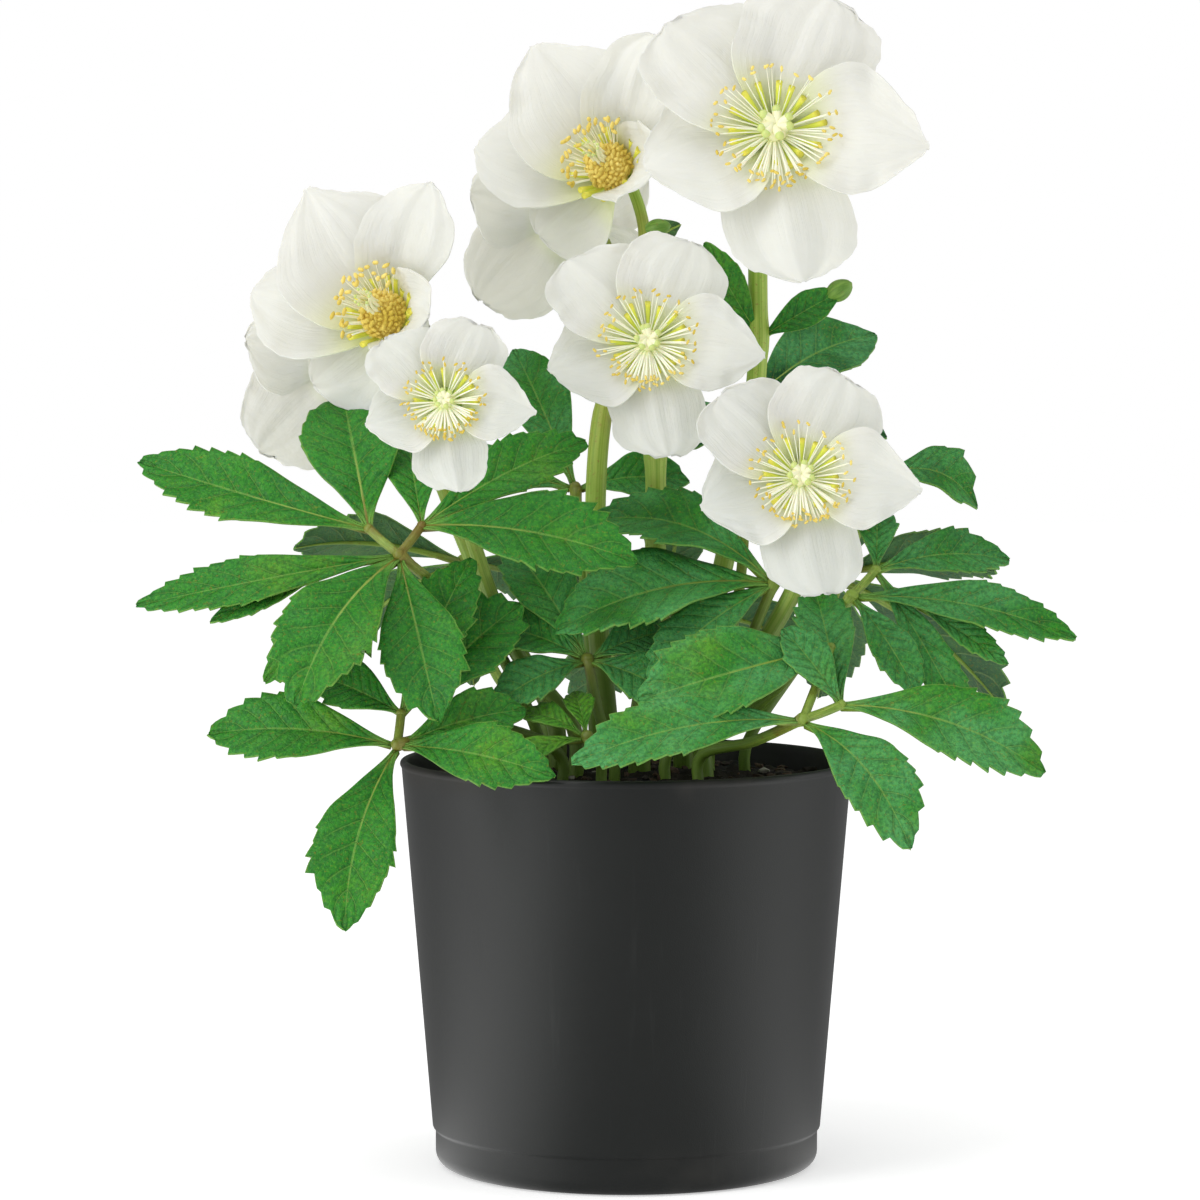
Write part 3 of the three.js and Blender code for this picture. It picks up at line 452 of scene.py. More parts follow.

# tone: 0 for an old blue-green leaf, 0.5 for a grown one, 1 for a young yellow-green one. The sheen value:
# how
# much painted sheen, pale bluish patches standing in for sky mirrored in a glossy leaf, lies in its colour.
# teeth:
# how deep they are, as a share. The rest is as in the solids: a foot in the soil, a way point, a hub, arms,
# and leaflets spread in one plane. Each leaflet has its start, or None for the hub, its tip, width, arch,
# lift off the plane and sideways bend, and one has its own teeth.
LEAVES = [
    {"name": "left_upper", "tone": 0.55, "flush": 0.75, "foot": (-26, -6), "via": (-43, -15, 166),
     "hub": (-68.7, -35, 191), "faces": (-0.05, -0.8, 0.6), "arms": [(-9.4, 7.5), (6.6, 8.4)],
     "leaflets": [
         ((-9.4, 7.5), (-80, 26), 23, 4, 2, 3),
         ((-9.4, 7.5), (-19, 49), 31, 3, -3, 0, 0.3),
         ((6.6, 8.4), (1, 38), 17, 3, -6, 0),
         ((6.6, 8.4), (56, 36), 20, 5, -5, 0),
         ((6.6, 8.4), (71.6, -3), 27, 7, 2, 0),
         (None, (-78.6, -15), 16, 4, 0, 2),
         ((-20, -4), (-56, -20), 9, 1, 1, 0),
         (None, (-28.3, -47), 30, 5, 8, -3),
         (None, (12, -43), 25, 3, -8, 0),
         (None, (-40, -32), 17, 3, -9, 0),
     ]},
    {"name": "left_lower", "tone": 0.55, "flush": 0.6, "foot": (-20, -26), "via": (-44, -40, 140),
     "hub": (-68.8, -50, 135), "faces": (-0.1, -0.85, 0.5), "arms": [(1, 9)],
     "leaflets": [
         (None, (-57, 2.4), 22, 3, 0, -2),
         (None, (-14.3, -52), 25, 4, 0, -3),
         (None, (48, -12), 20, 5, 9, 0),
         (None, (38, 12), 17, 4, -4, 0),
         ((1, 9), (-25, 21), 16, 3, -4, 0),
         ((1, 9), (36, 43), 25, 3, -5, 0),
         ((1, 9), (22, 52), 20, 3, 5, 0),
     ]},
    {"name": "right_upper", "tone": 0.5, "painted_sheen": 0.55, "flush": 0.08, "foot": (26, -2),
     "via": (48, -8, 150), "hub": (68.5, -22, 178), "faces": (0.05, -0.75, 0.65), "arms": [(7.6, 7.2)],
     "leaflets": [
         ((7.6, 7.2), (49, 11), 17, 3, -2, 2),
         (None, (67, -14), 17, 4, 2, 2),
         ((20, -3), (46, -20), 9, 1, 0, 0),
         ((7.6, 7.2), (9, 28), 12, 2, -3, 0),
         (None, (19, -28), 14, 3, -2, 0),
         ((7.6, 7.2), (36, -38), 13, 3, -7, 0),
     ]},
    {"name": "right_lower", "tone": 0.62, "painted_sheen": 0.7, "flush": 0.08, "foot": (22, -28),
     "via": (38, -40, 135), "hub": (52.3, -54, 143), "faces": (0.05, -0.75, 0.65),
     "arms": [(11.6, 3.9), (9, 20)],
     "leaflets": [
         (None, (-69, -14), 21, 5, 4, -2),
         ((9, 20), (-49, 6), 31, 6, -1, 3),
         (None, (30, -37), 23, 7, 3, 2),
         ((11.6, 3.9), (71, -16), 26, 6, 2, 2),
         ((11.6, 3.9), (-6, 22), 14, 2, 6, 0),
         ((11.6, 3.9), (5, 41), 17, 2, -5, 0),
     ]},
    {"name": "front", "tone": 0.5, "painted_sheen": 0.6, "foot": (12, -24), "via": (30, -22, 150),
     "hub": (45, -20, 182), "faces": (0.05, -0.6, 0.8),
     "leaflets": [
         (None, (-57, 15), 26, 8, 3, -3),
         (None, (-66, -8), 32, 5, -8, -3),
         (None, (-38, -18), 19, 4, -13, 0),
     ]},
    {"name": "centre", "tone": 0.4, "painted_sheen": 0.5, "foot": (-4, -26), "via": (-8, -24, 140),
     "hub": (-12, -27, 159), "faces": (0.0, -0.7, 0.7),
     "leaflets": [
         (None, (-28, -13), 17, 3, 0, 0),
         (None, (-30, 9), 18, 3, 0, 0),
         (None, (26, 8), 17, 2, 0, 0),
         (None, (30, -13), 20, 3, 0, 0),
         (None, (-24, 30), 21, 3, 5, 0),
     ]},
    {"name": "mid_left", "tone": 0.5, "painted_sheen": 0.6, "teeth": 0.4, "foot": (-10, 26),
     "via": (-12, 34, 165), "hub": (-16, 40, 208), "faces": (-0.1, -0.75, 0.65),
     "leaflets": [
         (None, (-20, 43), 21, 4, 0, 0),
         (None, (-48, 4), 20, 4, 0, 0),
         (None, (36, 2), 18, 4, 0, 0),
     ]},
    {"name": "right_rear", "tone": 0.2, "painted_sheen": 0.7, "teeth": 0.15, "foot": (26, 14),
     "via": (36, 28, 180), "hub": (38, 36, 234), "faces": (0.1, -0.75, 0.65),
     "leaflets": [
         (None, (42, 22), 25, 3, 0, 3),
         (None, (44, -10), 22, 4, 0, 0),
         (None, (-34, -14), 20, 3, 0, 0),
     ]},
    {"name": "right", "tone": 0.4, "painted_sheen": 0.5, "foot": (37, 4), "via": (60, 14, 165),
     "hub": (78, 10, 214), "faces": (0.3, -0.6, 0.7),
     "leaflets": [
         (None, (31, -11), 23, 5, 0, 4),
         (None, (-16, -14), 14, 3, 0, 0),
         (None, (-14, 17), 14, 3, 0, 0),
     ]},
    {"name": "rear_left", "tone": 0.45, "foot": (-24, 22), "via": (-42, 44, 150), "hub": (-52, 58, 184),
     "faces": (-0.3, 0.65, 0.7),
     "leaflets": [
         (None, (-52, 6), 21, 5, 0, 0),
         (None, (-42, -32), 23, 6, 0, 0),
         (None, (2, -44), 24, 6, 0, 0),
         (None, (36, -18), 20, 5, 0, 0),
     ]},
    {"name": "rear", "tone": 0.5, "foot": (2, 32), "via": (8, 52, 145), "hub": (12, 66, 168),
     "faces": (0.05, 0.72, 0.7),
     "leaflets": [
         (None, (-44, 4), 21, 5, 0, 0),
         (None, (-28, -36), 24, 6, 0, 0),
         (None, (16, -46), 24, 6, 0, 0),
         (None, (48, -14), 22, 5, 0, 0),
         (None, (6, 32), 20, 4, 0, 0),
     ]},
    {"name": "rear_right", "tone": 0.42, "foot": (24, 28), "via": (48, 42, 150), "hub": (66, 52, 180),
     "faces": (0.35, 0.6, 0.7),
     "leaflets": [
         (None, (50, 4), 22, 5, 0, 0),
         (None, (56, -44), 29, 6, 0, 0),
         (None, (-2, -44), 24, 6, 0, 0),
         (None, (2, 20), 17, 3, 0, 0),
     ]},
    {"name": "young_front", "tone": 0.95, "foot": (-8, -38), "via": (-10, -42, 130),
     "hub": (-12, -45, 137), "faces": (0.0, -0.6, 0.8),
     "leaflets": [
         (None, (-26, -9), 9, 3, 0, 0),
         (None, (-20, 6), 10, 3, 0, 0),
         (None, (-4, 12), 9, 2, 0, 0),
     ]},
]


def group(name, takes, gives):
    """A new node group that takes places and gives values, and a wire to what it takes."""
    made = bpy.data.node_groups.new(name, "ShaderNodeTree")
    for socket in takes:
        made.interface.new_socket(name=socket, in_out="INPUT", socket_type="NodeSocketVector")
    for socket in gives:
        made.interface.new_socket(name=socket, in_out="OUTPUT", socket_type="NodeSocketFloat")
    return made, wired(made, "NodeGroupInput")


# Plant tissue, for every green part: broad cloudy patches, and small flecks that are paler or rusty.
tissue, given = group("tissue", ["Place"], ["Clouds", "Pale flecks", "Rusty flecks", "Grain"])
place = given["Place"]
wired(tissue, "NodeGroupOutput", {
    "Clouds": noise_in(place, 55, 5, 0.6),
    "Pale flecks": between(noise_in(place, 1300, 2, 0.6), 0.52, 0.68),
    "Rusty flecks": between(noise_in(place, 950, 3, 0.7), 0.60, 0.67),
    "Grain": noise_in(place, 900, 3, 0.6),
})

# A leaflet's veins, from its UV map: across is 0 to 1 from edge to edge, along is 0 to 1 from base to tip.
leaf_veins, given = group(
    "leaf veins", ["Place", "Spread"], ["Midrib", "Side veins", "Valleys", "Margin", "Along"])
spread = wired(leaf_veins, "SeparateXYZ", {0: given["Spread"]})
from_rib = summed("ABSOLUTE", spread["X"] - 0.5) * 2
wander = noise_in(given["Place"], 160, 2) * 0.22
climbed = spread["Y"] * SIDE_VEINS - from_rib * VEIN_SLANT + wander
gap = summed("ABSOLUTE", summed("FRACT", climbed) - 0.5)
wired(leaf_veins, "NodeGroupOutput", {
    "Midrib": between(from_rib / ((1.25 - spread["Y"]) * RIB_WIDTH), 1.25, 0.6),
    "Side veins": between(gap, 0.07, 0.02) * between(from_rib, 0.98, 0.5),
    "Valleys": between(gap, 0.34, 0.04) * between(from_rib, 1.0, 0.7),
    "Margin": between(from_rib, 0.965, 0.99),
    "Along": spread["Y"],
})


def tissue_at(place):
    """The plant tissue at a place on a piece."""
    return wired(place.tree, "Group", {"Place": place}, node_tree=tissue)


def leaf_side(name, old, grown, young, sheen_colour, vein, vein_share, sheen, relief):
    """The finish of one side of a leaflet. Its tone leads from the old colour to the young one."""
    finish, tree, shader = material(name, Specular_IOR_Level=0.19)
    place = place_in(tree)
    cells = tissue_at(place)
    spread = wired(tree, "UVMap", uv_map="blade")
    veins = wired(tree, "Group", {"Place": place, "Spread": spread}, node_tree=leaf_veins)
    tone = wired(tree, "Attribute", attribute_name="tone")["Fac"]
    tone = summed("ADD", tone, (cells["Clouds"] - 0.5) * 1.2, use_clamp=True)
    painted_sheen = wired(tree, "Attribute", attribute_name="painted_sheen")["Fac"]
    colour = mixed(between(tone, 0.0, 0.55), old, grown)
    colour = mixed(between(tone, 0.55, 1.05), colour, young)
    # Painted sheen: pale bluish patches, standing in for the sky mirrored in a glossy blade, mixed into the
    # colour.
    colour = mixed(painted_sheen * between(noise_in(place, 48, 2), 0.30, 0.62), colour, sheen_colour)
    colour = mixed(cells["Pale flecks"] * 0.35, colour, young)
    # Painted shade: the grooves beside the side veins are darkened towards the old colour. The grain adds
    # the tissue's own fine dark mottle.
    colour = mixed(veins["Valleys"] * 0.14 + between(cells["Grain"], 0.60, 0.38) * 0.42, colour, old)
    colour = mixed(veins["Side veins"] * (vein_share * 0.45), colour, vein)
    colour = mixed(veins["Margin"] * 0.55, colour, vein)
    colour = mixed(veins["Midrib"] * vein_share, colour, vein)
    colour = mixed(between(veins["Along"], 0.16, 0.02) * 0.7, colour, vein)
    colour = mixed(cells["Rusty flecks"] * 0.4, colour, RUSTY)
    feed(shader, Base_Color=colour, Roughness=cells["Clouds"] * 0.22 + sheen)
    net = wired(tree, "TexVoronoi", {"Vector": place, "Scale": 620}, feature="DISTANCE_TO_EDGE")["Distance"]
    height = between(net, 0.0, 0.16) * 0.45 + cells["Grain"] * 0.8
    bumped(shader, height - (veins["Side veins"] + veins["Valleys"]) * relief, 0.00022)
    return finish


# The fourth colour of each side is its painted sheen.
leaf_top = leaf_side(
    "leaf upper side", (0.008, 0.070, 0.020), (0.036, 0.250, 0.020), (0.150, 0.390, 0.022),
    (0.105, 0.400, 0.135), (0.23, 0.43, 0.08), vein_share=0.5, sheen=0.28, relief=1)
leaf_underside = leaf_side(
    "leaf underside", (0.060, 0.130, 0.075), (0.085, 0.215, 0.075), (0.200, 0.340, 0.090),
    (0.120, 0.260, 0.130), (0.34, 0.48, 0.18), vein_share=0.7, sheen=0.5, relief=-1)


def stalk_side(name, pale, green, blush, blush_share):
    """The finish of a fleshy stalk: pale green with faint lengthwise stripes, flushed here and there. Low
    down near the pot's axis it is darker green, partly its own duller base and partly painted shade under
    the leaves.
    """
    finish, tree, shader = material(name, Specular_IOR_Level=0.45)
    place = place_in(tree)
    cells = tissue_at(place)
    clouds = cells["Clouds"]
    stripes = noise_in(stretched(wired(tree, "UVMap", uv_map="length"), 26, 2.2, 1), 1, 3, 0.6)
    colour = mixed(between(stripes, 0.36, 0.64), pale, green)
    colour = mixed(between(clouds, 0.5, 0.7) * 0.5, colour, green)
    colour = mixed(between(clouds, 0.56, 0.68) * blush_share, colour, blush)
    colour = mixed(cells["Rusty flecks"] * 0.5, colour, blush)
    # Darker green low down near the pot's axis: partly the stalks' own duller base, partly painted shade
    # under the leaves.
    axes = wired(tree, "SeparateXYZ", {0: place})
    reach = summed("SQRT", axes["X"] * axes["X"] + axes["Y"] * axes["Y"])
    dull_and_shaded = between(axes["Z"], *DULL_AND_SHADED_HEIGHTS) * between(reach, *DULL_AND_SHADED_REACHES)
    colour = mixed(dull_and_shaded * 0.75, colour, DULL_AND_SHADED_STALK)
    flush = wired(tree, "Attribute", attribute_name="flush")["Fac"]
    patchy = summed("ADD", between(clouds, 0.36, 0.62), 0.25, use_clamp=True)
    feed(shader, Base_Color=mixed(flush * patchy, colour, blush), Roughness=stripes * 0.15 + 0.33)
    bumped(shader, stripes + cells["Grain"] * 0.4, 0.00015)
    return finish


leaf_stalk = stalk_side("leaf stalk", (0.32, 0.45, 0.07), (0.17, 0.31, 0.035), (0.17, 0.070, 0.012), 0.4)


def smooth_way(points, spacing):
    """Evenly spaced points on a smooth curve through the given ones (a centripetal Catmull-Rom curve)."""
    knots = [Vector(point) for point in points]
    knots = [2 * knots[0] - knots[1], *knots, 2 * knots[-1] - knots[-2]]
    dense = [knots[1]]
    for a, b, c, d in zip(knots, knots[1:], knots[2:], knots[3:]):
        first = (b - a).length ** 0.5
        second = first + (c - b).length ** 0.5
        third = second + (d - c).length ** 0.5
        for k in range(1, WAY_STEPS + 1):
            t = first + (second - first) * k / WAY_STEPS
            ab, bc = a.lerp(b, t / first), b.lerp(c, (t - first) / (second - first))
            cd = c.lerp(d, (t - second) / (third - second))
            abc, bcd = ab.lerp(bc, t / second), bc.lerp(cd, (t - first) / (third - first))
            dense.append(abc.lerp(bcd, (t - first) / (second - first)))
    lengths = [0.0]
    for a, b in zip(dense, dense[1:]):
        lengths.append(lengths[-1] + (b - a).length)
    count = max(2, round(lengths[-1] / spacing))
    even, k = [], 0
    for step in range(count + 1):
        far = lengths[-1] * step / count
        while k < len(dense) - 2 and lengths[k + 1] < far:
            k += 1
        even.append(dense[k].lerp(dense[k + 1], (far - lengths[k]) / (lengths[k + 1] - lengths[k])))
    return even


def tinted(vertices, tint):
    """Gives the faces at some vertices the finish of a number, and lists them."""
    faces = {face for vertex in vertices for face in vertex.link_faces}
    for face in faces:
        face.material_index = tint
    return faces


def mapped(bm, spread, tint=0):
    """Lays the UV map and a finish over the faces at vertices, by each one's place in the map."""
    uv = bm.loops.layers.uv.verify()
    faces = tinted(spread, tint)
    for face in faces:
        for loop in face.loops:
            loop[uv].uv = spread[loop.vert]
    return faces


def rod(bm, way, radius, sides, tint=0):
    """A round rod along a way, closed at both ends. radius gives the radius at a share of its length."""
    last = len(way) - 1
    skin = bmesh.ops.create_grid(bm, x_segments=sides, y_segments=last, size=0.5)["verts"]
    spread = {vertex: (vertex.co.x + 0.5, vertex.co.y + 0.5) for vertex in skin}
    mapped(bm, spread, tint)
    side = (way[1] - way[0]).orthogonal().normalized()
    rings = []
    for k, point in enumerate(way):
        ahead = (way[min(k + 1, last)] - way[max(k - 1, 0)]).normalized()
        side = (side - ahead * side.dot(ahead)).normalized()
        rings.append((point, side, ahead.cross(side)))
    for vertex, (around, along) in spread.items():
        point, right, up = rings[round(along * last)]
        turn = around * 2 * math.pi
        vertex.co = point + (right * math.cos(turn) + up * math.sin(turn)) * radius(along)
    bmesh.ops.remove_doubles(bm, verts=skin, dist=1e-5)
    ends = {edge for v in skin if v.is_valid for edge in v.link_edges if edge.is_boundary}
    caps = bmesh.ops.holes_fill(bm, edges=list(ends), sides=sides)["faces"]
    uv = bm.loops.layers.uv.verify()
    for cap in caps:
        cap.material_index = tint
        for loop in cap.loops:
            loop[uv].uv = (0.5, 1.0)
    return caps


def leaflet_outline(t):
    """Half width along a leaflet, as a share of the greatest."""
    if t < LEAFLET_FULLEST:
        swell = math.sin(math.pi / 2 * t / LEAFLET_FULLEST) ** LEAFLET_SLENDER
        return LEAFLET_ROOT + (1 - LEAFLET_ROOT) * swell
    past = min(1, (t - LEAFLET_FULLEST) / (1 - LEAFLET_FULLEST))
    return LEAFLET_END + (1 - LEAFLET_END) * max(0, math.cos(math.pi / 2 * past)) ** LEAFLET_BLUNT


def smooth_step(value, low, high):
    """0 below low, 1 above high, and a smooth step between."""
    share = min(1, max(0, (value - low) / (high - low)))
    return share * share * (3 - 2 * share)


def leaflet(bm, draw, tone, base, tip, faces, width, arch, bend=0, teeth_share=1, painted_sheen=PLAIN_PAINTED_SHEEN):
    """A toothed blade over its chord, folded up on both sides of its midrib. Gives its midrib's way."""
    chord = tip - base
    side = faces.cross(chord).normalized()
    up = chord.cross(side).normalized()
    teeth = max(3, round((1 - TOOTHED_FROM) * chord.length / TOOTH_PITCH))
    rows = PLAIN_ROWS + ROWS_A_TOOTH * teeth
    depth = TOOTH_DEPTH * width * teeth_share
    depths = [[depth * draw.uniform(*TEETH_VARY) for _ in range(teeth + 1)] for _ in range(2)]
    waves = [(draw.uniform(*EDGE_WAVES), draw.uniform(0, 6.3)) for _ in range(2)]
    twist = draw.uniform(-TWIST, TWIST)
    own_tone = tone + draw.uniform(-TONE_SPREAD, TONE_SPREAD)
    sheet = bmesh.ops.create_grid(bm, x_segments=COLUMNS, y_segments=rows, size=0.5)["verts"]
    spread, rib = {}, {}
    for vertex in sheet:
        # s: across, from -1 to 1, in columns that are closer at the midrib. t: along, from base to tip.
        x = -2 * vertex.co.x
        s = math.copysign(abs(x) ** 1.25, x)
        row = round((vertex.co.y + 0.5) * rows)
        far = max(0, row - PLAIN_ROWS)
        t = TOOTHED_FROM * min(row, PLAIN_ROWS) / PLAIN_ROWS
        t += (1 - TOOTHED_FROM) * far / (rows - PLAIN_ROWS)
        right = s > 0
        bite = 0
        if far:
            tooth, beat = divmod(far + (2 if right else 0), ROWS_A_TOOTH)
            bite = depths[right][min(teeth, tooth)] * beat / (ROWS_A_TOOTH - 1)
            bite *= smooth_step(t, TOOTHED_FROM, 0.58) * (1 - 0.5 * smooth_step(t, 0.9, 1.0))
        at_edge = smooth_step(abs(s), 0.62, 1)
        half = width / 2 * leaflet_outline(t)
        out = half * abs(s) + (bite - depth * 0.3 * smooth_step(t, TOOTHED_FROM, 0.6)) * at_edge
        if t > 0.985:
            out = max(TIP_HALF * abs(s), out)
        bow = 4 * t * (1 - t)
        vein = t * SIDE_VEINS - abs(s) * VEIN_SLANT + 0.5
        quilt = QUILT * width * abs(math.sin(math.pi * vein)) ** 0.8 * smooth_step(t, 0.05, 0.3)
        quilt *= (1 - abs(s) ** 4) * smooth_step(abs(s), 0, 0.2)
        groove = RIB_GROOVE * (1 - smooth_step(abs(s), 0, 0.16)) * (1 - t)
        count, phase = waves[right]
        wave = EDGE_WAVE * width * abs(s) ** 3 * math.sin(2 * math.pi * count * t + phase)
        wave *= smooth_step(t, 0.1, 0.4)
        high = arch * bow + LEAFLET_FOLD * abs(s) * half + quilt - groove + wave + twist * s * half * t
        spot = base + chord * (t + 0.8 * bite * at_edge / chord.length)
        vertex.co = spot + up * high + side * (math.copysign(out, s) + bend * bow)
        spread[vertex] = (0.5 + s / 2, t)
        if abs(x) < 1e-4:
            rib[row] = vertex.co - up * RIB_BELOW
    tones, painted_sheens = bm.faces.layers.float["tone"], bm.faces.layers.float["painted_sheen"]
    for face in mapped(bm, spread):
        face[tones] = own_tone
        face[painted_sheens] = painted_sheen
    return [rib[row] for row in sorted(rib)][::4]


def blades_object(name, bm):
    """Leaflets as one piece, with their thickness below their upper sides."""
    made = finished(name, bm, leaf_top, leaf_underside)
    thickness = made.modifiers.new("blade", "SOLIDIFY")
    thickness.thickness = BLADE_THICK * MM
    thickness.offset = -1
    thickness.material_offset = 1
    return made


def new_blades():
    """An empty mesh for leaflets, with their UV map, tone and painted sheen."""
    bm = bmesh.new()
    bm.loops.layers.uv.new("blade")
    bm.faces.layers.float.new("tone")
    bm.faces.layers.float.new("painted_sheen")
    return bm


def new_rods():
    """An empty mesh for rods, with their UV map and how flushed with red they are."""
    bm = bmesh.new()
    bm.loops.layers.uv.new("length")
    bm.verts.layers.float.new("flush")
    return bm


def flushed(bm, joints, strength):
    """Flushes rods around their joints."""
    flush = bm.verts.layers.float["flush"]
    for vertex in bm.verts:
        near = min([(vertex.co - joint).length for joint in joints])
        vertex[flush] = strength * math.exp(-((near / FLUSH_REACH) ** 2))


def rooted(foot, upright):
    """The upright first stretch of a stem or stalk, standing in its hole."""
    return [(*foot, SOIL_TOP + height) for height in (SEAT - HOLE_DEPTH, 0, upright)]


def in_leaf_plane(hub, faces, right_up, lift=0):
    """The point right and up of the hub, as seen from the front, on the leaf's plane and lifted off it."""
    right, up = right_up
    depth = -(faces.x * right + faces.z * up) / faces.y
    return hub + Vector((right, depth, up)) + faces * lift


def knob(bm, at, radius):
    """The swollen joint where leaflets or bracts meet."""
    joint = bmesh.ops.create_icosphere(bm, subdivisions=3, radius=radius)["verts"]
    for vertex in joint:
        vertex.co *= 1 + 0.10 * noise.noise(vertex.co * 0.7 + at)
        vertex.co += at


def stalk_radius(share):
    """A leaf stalk thins on its way up, and swells into the hub."""
    return STALK_RADIUS * (1.1 - 0.16 * share + 0.35 * smooth_step(share, 0.95, 1))


draw = random.Random(3)
for leaf in LEAVES:
    hub = Vector(leaf["hub"])
    faces = Vector(leaf["faces"]).normalized()
    arms = [in_leaf_plane(hub, faces, arm) for arm in leaf.get("arms", [])]
    stalks = new_rods()
    blades = new_blades()
    way = smooth_way([*rooted(leaf["foot"], STALK_UPRIGHT), leaf["via"], leaf["hub"]], WAY_SPACING)
    rod(stalks, way, stalk_radius, sides=12)
    knob(stalks, hub, KNOB_RADIUS)
    for end in arms:
        way = smooth_way([hub, hub.lerp(end, 0.5) - faces * ARM_SAG, end], spacing=1.2)
        rod(stalks, way, lambda share: ARM_RADIUS, sides=10)
        knob(stalks, end, KNOB_RADIUS * 0.8)
    for start, tip, width, arch, lift, bend, *own_teeth in leaf["leaflets"]:
        tip = in_leaf_plane(hub, faces, tip, lift)
        base = in_leaf_plane(hub, faces, start) if start else hub + (tip - hub).normalized() * HUB_CLEAR
        teeth = own_teeth[0] if own_teeth else leaf.get("teeth", 1)
        painted_sheen = leaf.get("painted_sheen", PLAIN_PAINTED_SHEEN)
        rib = leaflet(blades, draw, leaf["tone"], base, tip, faces, width, arch, bend, teeth, painted_sheen)
        thick = RIB_RADIUS + RIB_SHARE * width
        rod(stalks, rib, lambda share: thick * (1.15 - share), sides=8)
    flushed(stalks, [hub, *arms], leaf.get("flush", 0.35))
    bmesh.ops.recalc_face_normals(stalks, faces=stalks.faces[:])
    for made in (
        finished("leaf_" + leaf["name"] + "_stalk", stalks, leaf_stalk),
        blades_object("leaf_" + leaf["name"] + "_leaflets", blades),
    ):
        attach(made, "root")
        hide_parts("leaf_" + leaf["name"])

# ---------------------------------------------------------------- flower stems
# Six stout fleshy stems, pale green and faintly striped, each ending square on the back of a bloom. Two
# fork for a second bloom, and small leafy bracts and young buds sit at their joints.
BLOOMS = {  # form, centre of the receptacle, the way the bloom looks, and a mean sepal's length
    "top_right": ("open", (45, -10, 318), (-0.02, -0.96, 0.26), 46.5),
    "middle": ("open", (6.4, -22, 254), (-0.02, -0.96, 0.26), 35),
    "left_front": ("open", (-54, -56, 237), (-0.04, -0.96, 0.26), 26.5),
    "right_front": ("open", (51.6, -46, 214), (0, -0.96, 0.26), 35),
    "left": ("cup", (-71, 0, 260), (-0.38, -0.86, 0.34), 48),
    "left_rear": ("rear", (-85, 26, 249), (-0.3, 0.9, 0.1), 34),
    "top_left": ("cup", (-2, 32, 306), (-0.38, -0.86, 0.34), 48),
    "top_left_rear": ("rear", (-16, 58, 295), (-0.3, 0.9, 0.1), 34),
}
STEM_UPRIGHT = 18
STEM_SQUARE = 7
STEM_SPACING = 3
RECEPTACLE_BACK = 3.2
BRACT_TONE = 0.62
BRACT_ARCH = 2
BRACT_TEETH = 0.3
BRACT_RIB = 0.9
BUD_RINGS = 14
BUD_TINT = 1  # place in the stem's list of finishes
# Each stem bears the bloom of its own name. radius: at its foot, and at its tip. branch: a way point and the
# second bloom. bracts: start, tip, width and the way it faces. buds: place, direction, length and radius.
FLOWER_STEMS = [
    {"name": "top_right", "radius": (3.1, 3.1), "foot": (18, 11),
     "via": [(28, 14, 175), (40, 12, 240), (41, 9, 288)],
     "bracts": [((41, 11, 256), (24, 6, 285), 12, (-0.3, -0.9, 0.2)),
                ((42, 12, 256), (66, 6, 270), 11, (0.2, -0.9, 0.3))],
     "buds": [((62, 8, 268), (0.8, -0.2, 0.5), 9, 3.2)]},
    {"name": "middle", "radius": (3.3, 3.3), "foot": (4, -6),
     "via": [(8, 3, 165), (9, 5, 212), (8, -1, 238)],
     "bracts": [((9, 4, 220), (22, 12, 240), 9, (0.2, -0.8, 0.5))]},
    {"name": "left_front", "radius": (2.3, 2.3), "foot": (-16, -14),
     "via": [(-34, -12, 160), (-49, -15, 200), (-55, -27, 222)]},
    {"name": "right_front", "radius": (2.8, 2.8), "foot": (24, -14),
     "via": [(40, -16, 160), (53, -20, 185), (54, -28, 202)]},
    {"name": "left", "radius": (2.7, 1.8), "foot": (-22, 6),
     "via": [(-40, 10, 170), (-56, 14, 208), (-63, 14, 240)], "branch": ((-74, 16, 236), "left_rear"),
     "bracts": [((-57, 14, 212), (-46, 26, 228), 9, (0.3, 0.6, 0.6))]},
    {"name": "top_left", "radius": (3.2, 2.0), "foot": (-6, 12), "flush": 0.6,
     "via": [(-9, 14, 170), (-8, 18, 228), (6, 34, 284)], "branch": ((-5, 36, 280), "top_left_rear"),
     "bracts": [((6, 34, 284), (17, 40, 291), 8, (0.2, 0.8, 0.4))],
     "buds": [((6.2, 31.5, 289.5), (0.95, -0.2, 0.12), 8, 2.5)]},
]

flower_stem = stalk_side("flower stem", (0.42, 0.56, 0.10), (0.24, 0.42, 0.04), (0.30, 0.12, 0.04), 0.12)
bud_finish = stalk_side("flower bud", (0.22, 0.40, 0.06), (0.12, 0.27, 0.035), (0.30, 0.16, 0.04), 0.1)


def approach(name):
    """Ways into the back of a bloom, so that a stem ends square on its receptacle."""
    _, centre, faces, _ = BLOOMS[name]
    axis = Vector(faces).normalized()
    return [Vector(centre) - axis * (RECEPTACLE_BACK + far) for far in (STEM_SQUARE, SEAT)]


def lerp(first, second, share):
    """The number a share of the way from the first to the second."""
    return first + (second - first) * share


def swelling(way, joints, radius, tip, fork_height):
    """Radius along a stem: stouter at its foot, thinner past its fork, and swollen at each joint."""
    last = len(way) - 1

    def at(share):
        point = way[round(share * last)]
        near = sum(math.exp(-((point - joint).length / 4) ** 2) for joint in joints)
        slim = lerp(radius, tip, smooth_step(point.z, fork_height + 2, fork_height + 18))
        return slim * (1.06 - 0.12 * share + 0.16 * min(1, near))

    return at


def bud_radius(widest, share):
    """A plump bud, blunt at its base and tip."""
    return 0.2 + widest * math.sin(math.pi * (0.06 + share * 0.94)) ** 0.6


